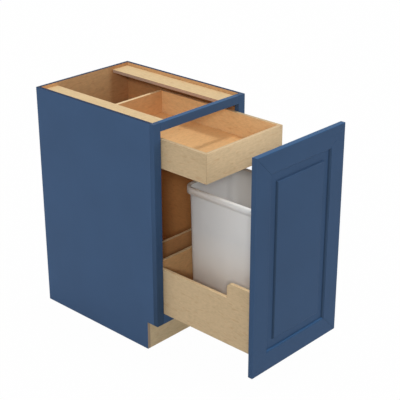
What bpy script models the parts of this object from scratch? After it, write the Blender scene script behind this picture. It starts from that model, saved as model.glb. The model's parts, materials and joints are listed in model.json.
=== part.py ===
"""Builds a framed base cabinet with a pull-out waste bin behind a full-height door.

Every length is in metres. X runs across the cabinet, Y from the door (negative)
to the wall (positive) and Z up from the floor. The middle of the open cabinet's
footprint is the origin. The model shows the cabinet with its pull-out and its
inner drawer partly open.
"""
import math

import bmesh
import bpy

# Clearances
GAP = 0.0003
OVERRUN = 0.005
MERGE_DISTANCE = 0.00002

# Cabinet box
CABINET_WIDTH = 0.4572
CABINET_DEPTH = 0.6096
CABINET_HEIGHT = 0.8763
SIDE_THICKNESS = 0.0127
BACK_THICKNESS = 0.0127
FLOOR_THICKNESS = 0.0127
FLOOR_RISE = 0.0032
HOUSING_DEPTH = 0.0064
TOE_HEIGHT = 0.1111
TOE_DEPTH = 0.0523
TOE_BOARD_THICKNESS = 0.0127
STRIP_WIDTH = 0.0775
STRIP_THICKNESS = 0.0127
STRIP_DROP = 0.0127
STRIP_EASE = 0.0008

# Face frame
FRAME_THICKNESS = 0.01905
STILE_WIDTH = 0.03175
TOP_RAIL_HEIGHT = 0.031
BOTTOM_RAIL_HEIGHT = 0.0381
TENON_LENGTH = 0.0159
TENON_THICKNESS = 0.0064
TENON_SHOULDER = 0.0064

# Door
DOOR_THICKNESS = 0.01905
DOOR_OPEN = 0.4242
DOOR_SIDE_REVEAL = 0.0016
DOOR_TOP_REVEAL = 0.0015
DOOR_LOW_OVERLAP = 0.0222
DOOR_MEMBER_WIDTH = 0.0699
DOOR_EDGE_RADIUS = 0.0022
STICKING_WIDTH = 0.0062
STICKING_STEP = 0.0012
RECESS_DEPTH = 0.0079
PANEL_GROOVE_DEPTH = 0.0095
PANEL_TONGUE = 0.0060
PANEL_PLAY = 0.0008
PANEL_BAND = 0.0302
PANEL_SLOPE = 0.0062
PANEL_SINK = 0.0004
CURVE_STEPS = 4
BUMPER_RADIUS = 0.0048
BUMPER_THICKNESS = 0.0016
BUMPER_INSET = 0.0135
BUMPER_SIDES = 20

# Drawer boxes
DRAWER_SIDE_CLEARANCE = 0.0032
DRAWER_BACK_CLEARANCE = 0.0063
BOARD_THICKNESS = 0.0127
BOTTOM_RECESS = 0.0127
BOTTOM_GROOVE = 0.0064
NOTCH_CLEARANCE = 0.0022

# Pull-out box
PULLOUT_RAIL_CLEARANCE = 0.0022
PULLOUT_SIDE_HEIGHT = 0.1778
PULLOUT_BOTTOM_THICKNESS = 0.0127
WING_RISE = 0.0568
WING_LENGTH = 0.127
WING_RADIUS = 0.0195
WING_STEPS = 8
WELL_LENGTH = 0.0914
DIVIDER_THICKNESS = 0.0127

# Inner drawer
INNER_OPEN = 0.2045
INNER_HEIGHT = 0.1054
INNER_TOP_CLEARANCE = 0.0285
INNER_BOTTOM_THICKNESS = 0.0064

# Undermount slides
STEEL = 0.0012
SLIDE_PLAY = 0.0005
SLIDE_WIDTH = 0.034
SLIDE_LEG = 0.0118
SLIDE_SIDE_CLEARANCE = 0.001
SLIDE_FRONT_SETBACK = 0.0111
SLIDE_BACK_SETBACK = 0.008
MIDDLE_SHORTER = 0.025
RUNNER_DEPTH = 0.028
RUNNER_FLANGE = 0.0125
CLEAT_HEIGHT = 0.0508
CLEAT_BACK_SPACE = 0.01755

# Front locking clips
CLIP_HEIGHT = 0.0110
CLIP_ARM_WIDTH = 0.0110
CLIP_ARM_LENGTH = 0.052
CLIP_TONGUE = 0.0025
TONGUE_SINK = 0.0004
CLIP_SETBACK = 0.008
PIN_RADIUS = 0.0021
EYE_RADIUS = 0.0048
LEVER_LENGTH = 0.036
LEVER_THICKNESS = 0.0028
LEVER_PAD = 0.0015
LEVER_ANGLE = math.radians(9.0)
LEVER_BASE_SPACE = 0.0012
PIN_SIDES = 16

# Waste bin
BIN_SIDE_SPACE = 0.0464
BIN_FRONT_SPACE = 0.0102
BIN_REAR_SPACE = 0.083
BIN_HEADROOM = 0.0675
BIN_WALL = 0.0024
BIN_TAPER = 0.0092
BIN_CORNER_RADIUS = 0.034
BIN_FOOT_RADIUS = 0.012
BIN_RIM_WIDTH = 0.0115
BIN_RIM_DROP = 0.0165
BIN_RIM_ROUND = 0.0035
BIN_CORNER_STEPS = 6
BIN_SHARP_ANGLE = math.radians(35.0)

# Levels and planes that follow from the sizes
MITRE_PULL = GAP * math.sqrt(2.0)
HALF_WIDTH = CABINET_WIDTH / 2.0
BACK = (CABINET_DEPTH + DOOR_OPEN + DOOR_THICKNESS) / 2.0
BACK_INNER = BACK - BACK_THICKNESS
FRAME_FRONT = BACK - CABINET_DEPTH
FRAME_BACK = FRAME_FRONT + FRAME_THICKNESS
DOOR_BACK = FRAME_FRONT - DOOR_OPEN
DOOR_FRONT = DOOR_BACK - DOOR_THICKNESS
SIDE_INNER = HALF_WIDTH - SIDE_THICKNESS
OPENING_HALF = HALF_WIDTH - STILE_WIDTH
FLOOR_BOTTOM = TOE_HEIGHT + FLOOR_RISE
FLOOR_TOP = FLOOR_BOTTOM + FLOOR_THICKNESS
RAIL_TOP = TOE_HEIGHT + BOTTOM_RAIL_HEIGHT
OPENING_TOP = CABINET_HEIGHT - TOP_RAIL_HEIGHT

DRAWER_HALF = OPENING_HALF - DRAWER_SIDE_CLEARANCE
DRAWER_INNER_HALF = DRAWER_HALF - BOARD_THICKNESS
DRAWER_LENGTH = CABINET_DEPTH - BACK_THICKNESS - DRAWER_BACK_CLEARANCE
PULLOUT_LOW = RAIL_TOP + PULLOUT_RAIL_CLEARANCE
PULLOUT_UNDERSIDE = PULLOUT_LOW + BOTTOM_RECESS
PULLOUT_FLOOR = PULLOUT_UNDERSIDE + PULLOUT_BOTTOM_THICKNESS
PULLOUT_FRONT = DOOR_BACK + GAP
INNER_LOW = OPENING_TOP - INNER_TOP_CLEARANCE - INNER_HEIGHT
INNER_UNDERSIDE = INNER_LOW + BOTTOM_RECESS
INNER_FRONT = FRAME_FRONT - INNER_OPEN

DOOR_HALF = HALF_WIDTH - DOOR_SIDE_REVEAL
DOOR_LOW = TOE_HEIGHT - DOOR_LOW_OVERLAP
DOOR_TOP = CABINET_HEIGHT - DOOR_TOP_REVEAL
DOOR_HEIGHT = DOOR_TOP - DOOR_LOW
DOOR_MIDDLE = (DOOR_TOP + DOOR_LOW) / 2.0

SLIDE_X = DRAWER_INNER_HALF - SLIDE_SIDE_CLEARANCE - SLIDE_WIDTH / 2.0
SLIDE_START = BOARD_THICKNESS + SLIDE_FRONT_SETBACK
SLIDE_LENGTH = DRAWER_LENGTH - SLIDE_START - BOARD_THICKNESS - SLIDE_BACK_SETBACK

SIDES = (("left", -1.0), ("right", 1.0))

PARTS = "pullout_trash_cabinet"
CUTTERS = "cutters"


def clear_scene():
    """Removes what a new file holds."""
    for old in list(bpy.data.objects):
        bpy.data.objects.remove(old)


def collection(name):
    """Gives the named collection of the scene, made at its first use."""
    found = bpy.data.collections.get(name)
    if found is None:
        found = bpy.data.collections.new(name)
        bpy.context.scene.collection.children.link(found)
    return found


def finish(name, color, roughness, metallic=0.0):
    """Makes a plain material of one colour."""
    made = bpy.data.materials.new(name)
    made.use_nodes = True
    shader = made.node_tree.nodes["Principled BSDF"]
    shader.inputs["Base Color"].default_value = (*color, 1.0)
    shader.inputs["Roughness"].default_value = roughness
    shader.inputs["Metallic"].default_value = metallic
    made.diffuse_color = (*color, 1.0)
    return made


def copy_finish(source, name):
    """Gives a sub-part its own copy of a finish."""
    made = source.copy()
    made.name = name + "_finish"
    return made


def carrier(name, location):
    """Adds the empty that carries the pieces of one moving body."""
    empty = bpy.data.objects.new(name, None)
    empty.location = location
    collection(PARTS).objects.link(empty)
    return empty


def add_part(name, mesh, look, parent, location, rotation=(0.0, 0.0, 0.0)):
    """Adds a sub-part at a place in the world, carried by its parent."""
    part = bpy.data.objects.new(name, mesh)
    mesh.materials.clear()
    mesh.materials.append(copy_finish(look, name))
    put(part, parent, location, rotation)
    collection(PARTS).objects.link(part)
    return part


def put(item, parent, location, rotation=(0.0, 0.0, 0.0)):
    """Parents an object and places it in the world."""
    item.rotation_euler = rotation
    item.location = location
    if parent is not None:
        item.parent = parent
        item.location = [here - base for here, base in zip(location, parent.location)]


def middle(low, high):
    """Gives the centre between two corners."""
    return [(a + b) / 2.0 for a, b in zip(low, high)]


def box_mesh(name, low, high):
    """Makes a box of the size between two corners, about its own centre."""
    shape = bmesh.new()
    bmesh.ops.create_cube(shape, size=1.0)
    span = [b - a for a, b in zip(low, high)]
    bmesh.ops.scale(shape, vec=span, verts=shape.verts)
    mesh = bpy.data.meshes.new(name)
    shape.to_mesh(mesh)
    shape.free()
    return mesh


def board(name, low, high, look, parent=None):
    """Adds a plain board between two corners given in the world."""
    return add_part(name, box_mesh(name, low, high), look, parent, middle(low, high))


def box_cutter(name, low, high, parent=None):
    """Adds a hidden box that cuts or joins other pieces."""
    tool = bpy.data.objects.new(name, box_mesh(name, low, high))
    put(tool, parent, middle(low, high))
    hide_cutter(tool)
    return tool


def hide_cutter(tool):
    """Files a cutter away and shows it as wire."""
    collection(CUTTERS).objects.link(tool)
    tool.hide_render = True
    tool.display_type = "WIRE"


def combine(part, tool, operation):
    """Cuts a piece with a tool, or joins the tool to it."""
    change = part.modifiers.new(tool.name, "BOOLEAN")
    change.operation = operation
    change.solver = "EXACT"
    change.object = tool


def cut(part, *tools):
    """Takes each tool's shape out of a piece."""
    for tool in tools:
        combine(part, tool, "DIFFERENCE")


def join(part, *tools):
    """Makes each tool's shape one with a piece."""
    for tool in tools:
        combine(part, tool, "UNION")


def ease_edges(part, width):
    """Breaks a board's sharp edges."""
    bevel = part.modifiers.new("eased edges", "BEVEL")
    bevel.width = width
    bevel.segments = 1
    bevel.limit_method = "ANGLE"


def arc(center, radius_x, radius_y, start, end, steps):
    """Gives points along part of an ellipse, its ends among them."""
    points = []
    for step in range(steps + 1):
        angle = start + (end - start) * step / steps
        points.append((center[0] + radius_x * math.cos(angle), center[1] + radius_y * math.sin(angle)))
    return points


def outline_mesh(name, points, thickness):
    """Turns a flat closed outline into a solid plate of the given thickness."""
    shape = bpy.data.curves.new(name, "CURVE")
    shape.dimensions = "2D"
    shape.fill_mode = "BOTH"
    shape.extrude = thickness / 2.0
    line = shape.splines.new("POLY")
    line.points.add(len(points) - 1)
    for point, (x, y) in zip(line.points, points):
        point.co = (x, y, 0.0, 1.0)
    line.use_cyclic_u = True
    holder = bpy.data.objects.new(name, shape)
    bpy.context.scene.collection.objects.link(holder)
    seen = holder.evaluated_get(bpy.context.evaluated_depsgraph_get())
    mesh = bpy.data.meshes.new_from_object(seen)
    bpy.data.objects.remove(holder)
    bpy.data.curves.remove(shape)
    solid = bmesh.new()
    solid.from_mesh(mesh)
    bmesh.ops.remove_doubles(solid, verts=solid.verts, dist=MERGE_DISTANCE)
    solid.to_mesh(mesh)
    solid.free()
    mesh.name = name
    return mesh


def shear_ends(mesh, offsets):
    """Moves each point of a prism's two ends inwards along Z by a rule."""
    for vertex in mesh.vertices:
        inward = offsets(vertex.co)
        vertex.co.z += -inward if vertex.co.z > 0.0 else inward


def folded_sheet(name, path, length, look, parent, location):
    """Adds a folded steel channel: a path across it, run along Y and given its thickness."""
    shape = bmesh.new()
    corners = [shape.verts.new((x, 0.0, z)) for x, z in path]
    edges = [shape.edges.new(pair) for pair in zip(corners, corners[1:])]
    grown = bmesh.ops.extrude_edge_only(shape, edges=edges)["geom"]
    far = [item for item in grown if isinstance(item, bmesh.types.BMVert)]
    bmesh.ops.translate(shape, verts=far, vec=(0.0, length, 0.0))
    bmesh.ops.recalc_face_normals(shape, faces=shape.faces)
    mesh = bpy.data.meshes.new(name)
    shape.to_mesh(mesh)
    shape.free()
    part = add_part(name, mesh, look, parent, location)
    wall = part.modifiers.new("steel", "SOLIDIFY")
    wall.thickness = STEEL
    wall.offset = 0.0
    wall.use_even_offset = True
    return part


def make_finishes():
    """Makes the finishes that the sub-parts copy."""
    return {
        "paint": finish("blue_paint", (0.051, 0.094, 0.168), 0.45),
        "wood": finish("natural_maple", (0.62, 0.45, 0.27), 0.5),
        "steel": finish("zinc_steel", (0.56, 0.57, 0.58), 0.35, 1.0),
        "bin": finish("bin_plastic", (0.62, 0.62, 0.61), 0.4),
        "clip": finish("clip_plastic", (0.28, 0.29, 0.3), 0.5),
        "bumper": finish("bumper_plastic", (0.75, 0.76, 0.76), 0.3),
    }


def make_side_panels(looks):
    """The two ends of the box, with a toe notch and housings for floor and back."""
    front = FRAME_BACK + GAP
    for side, sign in SIDES:
        low = (min(sign * HALF_WIDTH, sign * SIDE_INNER), front, 0.0)
        high = (max(sign * HALF_WIDTH, sign * SIDE_INNER), BACK, CABINET_HEIGHT)
        panel = board("side_panel_" + side, low, high, looks["paint"])
        notch = box_cutter(
            "toe_notch_" + side,
            (low[0] - OVERRUN, front - OVERRUN, -OVERRUN),
            (high[0] + OVERRUN, FRAME_FRONT + TOE_DEPTH, TOE_HEIGHT),
        )
        deep = sign * (SIDE_INNER + HOUSING_DEPTH)
        clear = sign * (SIDE_INNER - OVERRUN)
        floor_housing = box_cutter(
            "floor_housing_" + side,
            (min(deep, clear), front - OVERRUN, FLOOR_BOTTOM - GAP),
            (max(deep, clear), BACK_INNER, FLOOR_TOP + GAP),
        )
        back_housing = box_cutter(
            "back_housing_" + side,
            (min(deep, clear), BACK_INNER - GAP, -OVERRUN),
            (max(deep, clear), BACK + OVERRUN, CABINET_HEIGHT + OVERRUN),
        )
        cut(panel, notch, floor_housing, back_housing)


def make_box(looks):
    """The back, floor, toe board and top strips between the side panels."""
    housed = SIDE_INNER + HOUSING_DEPTH - GAP
    between = SIDE_INNER - GAP
    board("back_panel", (-housed, BACK_INNER, 0.0), (housed, BACK, CABINET_HEIGHT), looks["paint"])
    board(
        "floor_panel",
        (-housed, FRAME_BACK + GAP, FLOOR_BOTTOM),
        (housed, BACK_INNER - GAP, FLOOR_TOP),
        looks["wood"],
    )
    toe_front = FRAME_FRONT + TOE_DEPTH
    board(
        "toe_kick_board",
        (-between, toe_front, 0.0),
        (between, toe_front + TOE_BOARD_THICKNESS, FLOOR_BOTTOM - GAP),
        looks["wood"],
    )
    strip_top = CABINET_HEIGHT - STRIP_DROP
    for side, sign in SIDES:
        edges = sorted((sign * between, sign * (between - STRIP_WIDTH)))
        strip = board(
            "top_strip_" + side,
            (edges[0], FRAME_BACK + GAP, strip_top - STRIP_THICKNESS),
            (edges[1], BACK_INNER - GAP, strip_top),
            looks["wood"],
        )
        ease_edges(strip, STRIP_EASE)


def rail(name, low_z, high_z, looks):
    """A face frame rail with a tenon at each end, and the mortises that take them."""
    reach = OPENING_HALF - GAP
    part = board(name, (-reach, FRAME_FRONT, low_z), (reach, FRAME_BACK, high_z), looks["paint"])
    center = (FRAME_FRONT + FRAME_BACK) / 2.0
    half = TENON_THICKNESS / 2.0
    tenon_low = low_z + TENON_SHOULDER
    tenon_high = high_z - TENON_SHOULDER
    tip = OPENING_HALF + TENON_LENGTH
    tenon = box_cutter(name + "_tenon", (-tip, center - half, tenon_low), (tip, center + half, tenon_high))
    join(part, tenon)
    return box_cutter(
        name + "_mortise",
        (-tip - GAP, center - half - GAP, tenon_low - GAP),
        (tip + GAP, center + half + GAP, tenon_high + GAP),
    )


def make_face_frame(looks):
    """The frame of stiles and rails on the front of the box."""
    upper = rail("face_top_rail", OPENING_TOP, CABINET_HEIGHT, looks)
    lower = rail("face_bottom_rail", TOE_HEIGHT, RAIL_TOP, looks)
    for side, sign in SIDES:
        edges = sorted((sign * HALF_WIDTH, sign * OPENING_HALF))
        stile = board(
            "face_stile_" + side,
            (edges[0], FRAME_FRONT, TOE_HEIGHT),
            (edges[1], FRAME_BACK, CABINET_HEIGHT),
            looks["paint"],
        )
        cut(stile, upper, lower)


def door_section():
    """Outline across a door frame member: inwards from its outer edge, then back from its face."""
    inner = DOOR_MEMBER_WIDTH + STICKING_WIDTH
    groove_bottom = inner - PANEL_GROOVE_DEPTH
    groove_back = RECESS_DEPTH + PANEL_TONGUE + 2.0 * GAP
    nose = (DOOR_MEMBER_WIDTH, RECESS_DEPTH)
    turn = math.pi / 2.0
    points = arc((DOOR_EDGE_RADIUS, DOOR_EDGE_RADIUS), DOOR_EDGE_RADIUS, DOOR_EDGE_RADIUS,
                 math.pi, math.pi + turn, CURVE_STEPS)
    points.append((DOOR_MEMBER_WIDTH, 0.0))
    points += arc(nose, STICKING_WIDTH, RECESS_DEPTH - STICKING_STEP, -turn, 0.0, CURVE_STEPS)
    points += [
        (groove_bottom, RECESS_DEPTH),
        (groove_bottom, groove_back),
        (inner, groove_back),
        (inner, DOOR_THICKNESS),
        (0.0, DOOR_THICKNESS),
    ]
    return points


def door_member(name, length, pull, turn, location, looks, parent):
    """One mitred member of the door's frame, turned about Y to its place."""
    mesh = outline_mesh(name, door_section(), length)
    shear_ends(mesh, lambda point: point.x + pull)
    return add_part(name, mesh, looks["paint"], parent, location, (0.0, turn, 0.0))


def door_panel_mesh(half_width, half_height):
    """The door's panel: a tongue all round, a flat band and a raised middle."""
    shape = bmesh.new()
    bmesh.ops.create_cube(shape, size=1.0)
    bmesh.ops.scale(shape, vec=(2.0 * half_width, PANEL_TONGUE, 2.0 * half_height), verts=shape.verts)
    shape.faces.ensure_lookup_table()
    front = [min(shape.faces, key=lambda face: face.calc_center_median().y)]
    border = PANEL_BAND + PANEL_GROOVE_DEPTH - PANEL_PLAY
    bmesh.ops.inset_region(shape, faces=front, thickness=border, use_even_offset=True)
    rise = RECESS_DEPTH - PANEL_SINK
    size_x = half_width - border
    size_z = half_height - border
    done_in = 0.0
    done_up = 0.0
    for step in range(1, CURVE_STEPS + 1):
        angle = math.pi / 2.0 * step / CURVE_STEPS
        go_in = PANEL_SLOPE * (1.0 - math.cos(angle))
        go_up = rise * math.sin(angle)
        grown = bmesh.ops.extrude_face_region(shape, geom=front)["geom"]
        bmesh.ops.delete(shape, geom=front, context="FACES_ONLY")
        front = [item for item in grown if isinstance(item, bmesh.types.BMFace)]
        corners = list({corner for face in front for corner in face.verts})
        bmesh.ops.translate(shape, verts=corners, vec=(0.0, done_up - go_up, 0.0))
        shrink_x = (size_x - go_in) / (size_x - done_in)
        shrink_z = (size_z - go_in) / (size_z - done_in)
        bmesh.ops.scale(shape, vec=(shrink_x, 1.0, shrink_z), verts=corners)
        done_in = go_in
        done_up = go_up
    mesh = bpy.data.meshes.new("door_panel")
    shape.to_mesh(mesh)
    shape.free()
    return mesh


def make_door(looks, parent):
    """The door: four mitred members round a floating raised panel, and its corner bumpers."""
    quarter = math.pi / 2.0
    middle_left = (-DOOR_HALF, DOOR_FRONT, DOOR_MIDDLE)
    middle_right = (DOOR_HALF, DOOR_FRONT, DOOR_MIDDLE)
    middle_low = (0.0, DOOR_FRONT, DOOR_LOW)
    middle_top = (0.0, DOOR_FRONT, DOOR_TOP)
    width = 2.0 * DOOR_HALF
    door_member("door_stile_left", DOOR_HEIGHT, 0.0, 0.0, middle_left, looks, parent)
    door_member("door_stile_right", DOOR_HEIGHT, 0.0, math.pi, middle_right, looks, parent)
    door_member("door_bottom_rail", width, MITRE_PULL, -quarter, middle_low, looks, parent)
    door_member("door_top_rail", width, MITRE_PULL, quarter, middle_top, looks, parent)

    edge = DOOR_MEMBER_WIDTH + STICKING_WIDTH - PANEL_GROOVE_DEPTH + PANEL_PLAY
    tongue_middle = DOOR_FRONT + RECESS_DEPTH + GAP + PANEL_TONGUE / 2.0
    mesh = door_panel_mesh(DOOR_HALF - edge, DOOR_HEIGHT / 2.0 - edge)
    add_part("door_panel", mesh, looks["paint"], parent, (0.0, tongue_middle, DOOR_MIDDLE))

    levels = (("top", DOOR_TOP - BUMPER_INSET), ("bottom", TOE_HEIGHT + BUMPER_INSET))
    for side, sign in SIDES:
        for level, height in levels:
            place = (sign * (DOOR_HALF - BUMPER_INSET), DOOR_BACK + GAP, height)
            make_bumper("door_bumper_" + level + "_" + side, place, looks, parent)


def make_bumper(name, place, looks, parent):
    """A low domed bumper, turned about its own axis and stuck on the door's back."""
    profile = [(BUMPER_RADIUS, 0.0), (BUMPER_RADIUS, BUMPER_THICKNESS / 2.0)]
    profile.append((BUMPER_RADIUS / 2.0, BUMPER_THICKNESS))
    profile = [(0.0, BUMPER_THICKNESS)] + profile[::-1] + [(0.0, 0.0)]
    shape = bmesh.new()
    points = [shape.verts.new((x, 0.0, z)) for x, z in profile]
    for pair in zip(points, points[1:]):
        shape.edges.new(pair)
    mesh = bpy.data.meshes.new(name)
    shape.to_mesh(mesh)
    shape.free()
    part = add_part(name, mesh, looks["bumper"], parent, place, (-math.pi / 2.0, 0.0, 0.0))
    screw = part.modifiers.new("turned", "SCREW")
    screw.steps = BUMPER_SIDES
    screw.render_steps = BUMPER_SIDES
    screw.use_merge_vertices = True
    screw.merge_threshold = MERGE_DISTANCE
    return part


def mitred_board(name, length, height, look, parent, location, rotation, pull):
    """A drawer board with mitred ends: local Z runs along it and local +X is its outer face."""
    half = BOARD_THICKNESS / 2.0
    points = [(-half, -height / 2.0), (half, -height / 2.0), (half, height / 2.0), (-half, height / 2.0)]
    mesh = outline_mesh(name, points, length)
    shear_ends(mesh, lambda point: half - point.x + pull)
    return add_part(name, mesh, look, parent, location, rotation)


def drawer_bottom(name, front, underside, thickness, looks, parent):
    """A drawer's bottom panel and the cutter that houses it in all four boards."""
    half = DRAWER_INNER_HALF + BOTTOM_GROOVE - GAP
    start = front + BOARD_THICKNESS - BOTTOM_GROOVE + GAP
    end = front + DRAWER_LENGTH - BOARD_THICKNESS + BOTTOM_GROOVE - GAP
    low = (-half, start, underside)
    high = (half, end, underside + thickness)
    board(name, low, high, looks["wood"], parent)
    grown_low = [value - GAP for value in low]
    grown_high = [value + GAP for value in high]
    return box_cutter(name + "_groove", grown_low, grown_high, parent)


def cross_board(name, low_z, height, y, facing, looks, parent):
    """A mitred board across a drawer, its outer face at y and facing the door (-1) or wall (+1)."""
    place = (0.0, y - facing * BOARD_THICKNESS / 2.0, low_z + height / 2.0)
    turn = (math.pi / 2.0, 0.0, facing * math.pi / 2.0)
    return mitred_board(name, 2.0 * DRAWER_HALF, height, looks["wood"], parent, place, turn, MITRE_PULL)


def slide_notches(prefix, front, low_z, underside, parent):
    """Cutters for the two notches that let the slides pass under a drawer's back."""
    back = front + DRAWER_LENGTH
    half = SLIDE_WIDTH / 2.0 + NOTCH_CLEARANCE
    notches = []
    for side, sign in SIDES:
        x = sign * SLIDE_X
        low = (x - half, back - BOARD_THICKNESS - OVERRUN, low_z - OVERRUN)
        high = (x + half, back + OVERRUN, underside)
        notches.append(box_cutter(prefix + "_slide_notch_" + side, low, high, parent))
    return notches


def make_pullout(looks, parent):
    """The pull-out's open box: stepped sides, front, back, bottom and the rear divider."""
    front = PULLOUT_FRONT
    back = front + DRAWER_LENGTH
    low_top = PULLOUT_LOW + PULLOUT_SIDE_HEIGHT
    wing_top = low_top + WING_RISE
    groove = drawer_bottom("pullout_bottom", front, PULLOUT_UNDERSIDE, PULLOUT_BOTTOM_THICKNESS, looks, parent)

    divider_back = back - BOARD_THICKNESS - WELL_LENGTH
    divider_front = divider_back - DIVIDER_THICKNESS
    housed = DRAWER_INNER_HALF + BOTTOM_GROOVE
    board(
        "pullout_divider",
        (GAP - housed, divider_front, PULLOUT_FLOOR + GAP),
        (housed - GAP, divider_back, low_top),
        looks["wood"],
        parent,
    )
    housing = box_cutter(
        "divider_housing",
        (-housed, divider_front - GAP, PULLOUT_FLOOR),
        (housed, divider_back + GAP, low_top + OVERRUN),
        parent,
    )

    round_center = (front + WING_LENGTH - WING_RADIUS, wing_top - WING_RADIUS)
    outline = [(front, PULLOUT_LOW), (back, PULLOUT_LOW), (back, low_top), (front + WING_LENGTH, low_top)]
    outline += arc(round_center, WING_RADIUS, WING_RADIUS, 0.0, math.pi / 2.0, WING_STEPS)
    outline += [(front, wing_top)]
    for side, sign in SIDES:
        name = "pullout_side_" + side
        mesh = outline_mesh(name, outline, BOARD_THICKNESS)
        for vertex in mesh.vertices:
            if vertex.co.z * sign < 0.0:
                if abs(vertex.co.x - front) < MERGE_DISTANCE:
                    vertex.co.x += BOARD_THICKNESS
                if abs(vertex.co.x - back) < MERGE_DISTANCE:
                    vertex.co.x -= BOARD_THICKNESS
        x = sign * (DRAWER_HALF - BOARD_THICKNESS / 2.0)
        part = add_part(name, mesh, looks["wood"], parent, (x, 0.0, 0.0), (math.pi / 2.0, 0.0, math.pi / 2.0))
        cut(part, groove, housing)

    front_board = cross_board("pullout_front_board", PULLOUT_LOW, PULLOUT_SIDE_HEIGHT + WING_RISE,
                              front, -1.0, looks, parent)
    back_board = cross_board("pullout_back_board", PULLOUT_LOW, PULLOUT_SIDE_HEIGHT,
                             back, 1.0, looks, parent)
    cut(front_board, groove)
    cut(back_board, groove, *slide_notches("pullout", front, PULLOUT_LOW, PULLOUT_UNDERSIDE, parent))


def make_inner_drawer(looks, parent):
    """The shallow drawer above the bin."""
    front = INNER_FRONT
    back = front + DRAWER_LENGTH
    groove = drawer_bottom("inner_drawer_bottom", front, INNER_UNDERSIDE, INNER_BOTTOM_THICKNESS, looks, parent)
    for side, sign in SIDES:
        place = (sign * (DRAWER_HALF - BOARD_THICKNESS / 2.0), (front + back) / 2.0, INNER_LOW + INNER_HEIGHT / 2.0)
        turn = (math.pi / 2.0, 0.0, 0.0) if sign > 0.0 else (math.pi / 2.0, 0.0, math.pi)
        part = mitred_board("inner_drawer_side_" + side, DRAWER_LENGTH, INNER_HEIGHT, looks["wood"],
                            parent, place, turn, 0.0)
        cut(part, groove)
    front_board = cross_board("inner_drawer_front", INNER_LOW, INNER_HEIGHT, front, -1.0, looks, parent)
    back_board = cross_board("inner_drawer_back", INNER_LOW, INNER_HEIGHT, back, 1.0, looks, parent)
    cut(front_board, groove)
    cut(back_board, groove, *slide_notches("inner_drawer", front, INNER_LOW, INNER_UNDERSIDE, parent))


def cap_path(half_width, top, low):
    """The path across an upside-down channel, on the middle of its steel."""
    inset = STEEL / 2.0
    x = half_width - inset
    return [(-x, low), (-x, top - inset), (x, top - inset), (x, low)]


def make_slides(level, underside, front, opened, looks, drawer, middles):
    """One pair of undermount slides: runner, middle member and drawer member on each side."""
    nest = STEEL + SLIDE_PLAY
    drawer_half = SLIDE_WIDTH / 2.0
    drawer_top = -GAP
    leg_low = drawer_top - SLIDE_LEG
    start = front + SLIDE_START
    home = start + opened
    for side, sign in SIDES:
        x = sign * SLIDE_X
        folded_sheet(
            level + "_slide_drawer_member_" + side,
            cap_path(drawer_half, drawer_top, leg_low),
            SLIDE_LENGTH, looks["steel"], drawer, (x, start, underside),
        )
        folded_sheet(
            level + "_slide_middle_" + side,
            cap_path(drawer_half - nest, drawer_top - nest, leg_low),
            SLIDE_LENGTH - 2.0 * MIDDLE_SHORTER, looks["steel"], middles,
            (x, home - opened / 2.0 + MIDDLE_SHORTER, underside),
        )
        half = drawer_half - 2.0 * nest - STEEL / 2.0
        top = drawer_top - 2.0 * nest - STEEL / 2.0
        foot = STEEL / 2.0 - RUNNER_DEPTH
        flange = sign * (OPENING_HALF - GAP - STEEL / 2.0) - x
        path = [
            (-sign * half, foot),
            (-sign * half, top),
            (sign * half, top),
            (sign * half, foot),
            (flange, foot),
            (flange, foot + RUNNER_FLANGE),
        ]
        folded_sheet(level + "_slide_runner_" + side, path, SLIDE_LENGTH, looks["steel"], None,
                     (x, home, underside))


def make_cleats(looks):
    """The wooden cleats that carry the runners, packed out flush with the stiles."""
    lift = FLOOR_TOP + GAP - (PULLOUT_UNDERSIDE - RUNNER_DEPTH)
    levels = (
        ("lower", PULLOUT_UNDERSIDE - RUNNER_DEPTH + lift),
        ("upper", INNER_UNDERSIDE - RUNNER_DEPTH + lift),
    )
    for side, sign in SIDES:
        edges = sorted((sign * (SIDE_INNER - GAP), sign * OPENING_HALF))
        for level, low_z in levels:
            board(
                level + "_slide_cleat_" + side,
                (edges[0], FRAME_BACK + GAP, low_z),
                (edges[1], BACK_INNER - CLEAT_BACK_SPACE, low_z + CLEAT_HEIGHT),
                looks["wood"],
            )


def lever_pivot(front, sign):
    """Where a clip's lever turns, seen from above."""
    arm_inner = SLIDE_X - SLIDE_WIDTH / 2.0 - GAP - CLIP_ARM_WIDTH
    x = sign * (arm_inner - EYE_RADIUS - LEVER_BASE_SPACE)
    return x, front + BOARD_THICKNESS + CLIP_SETBACK


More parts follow.
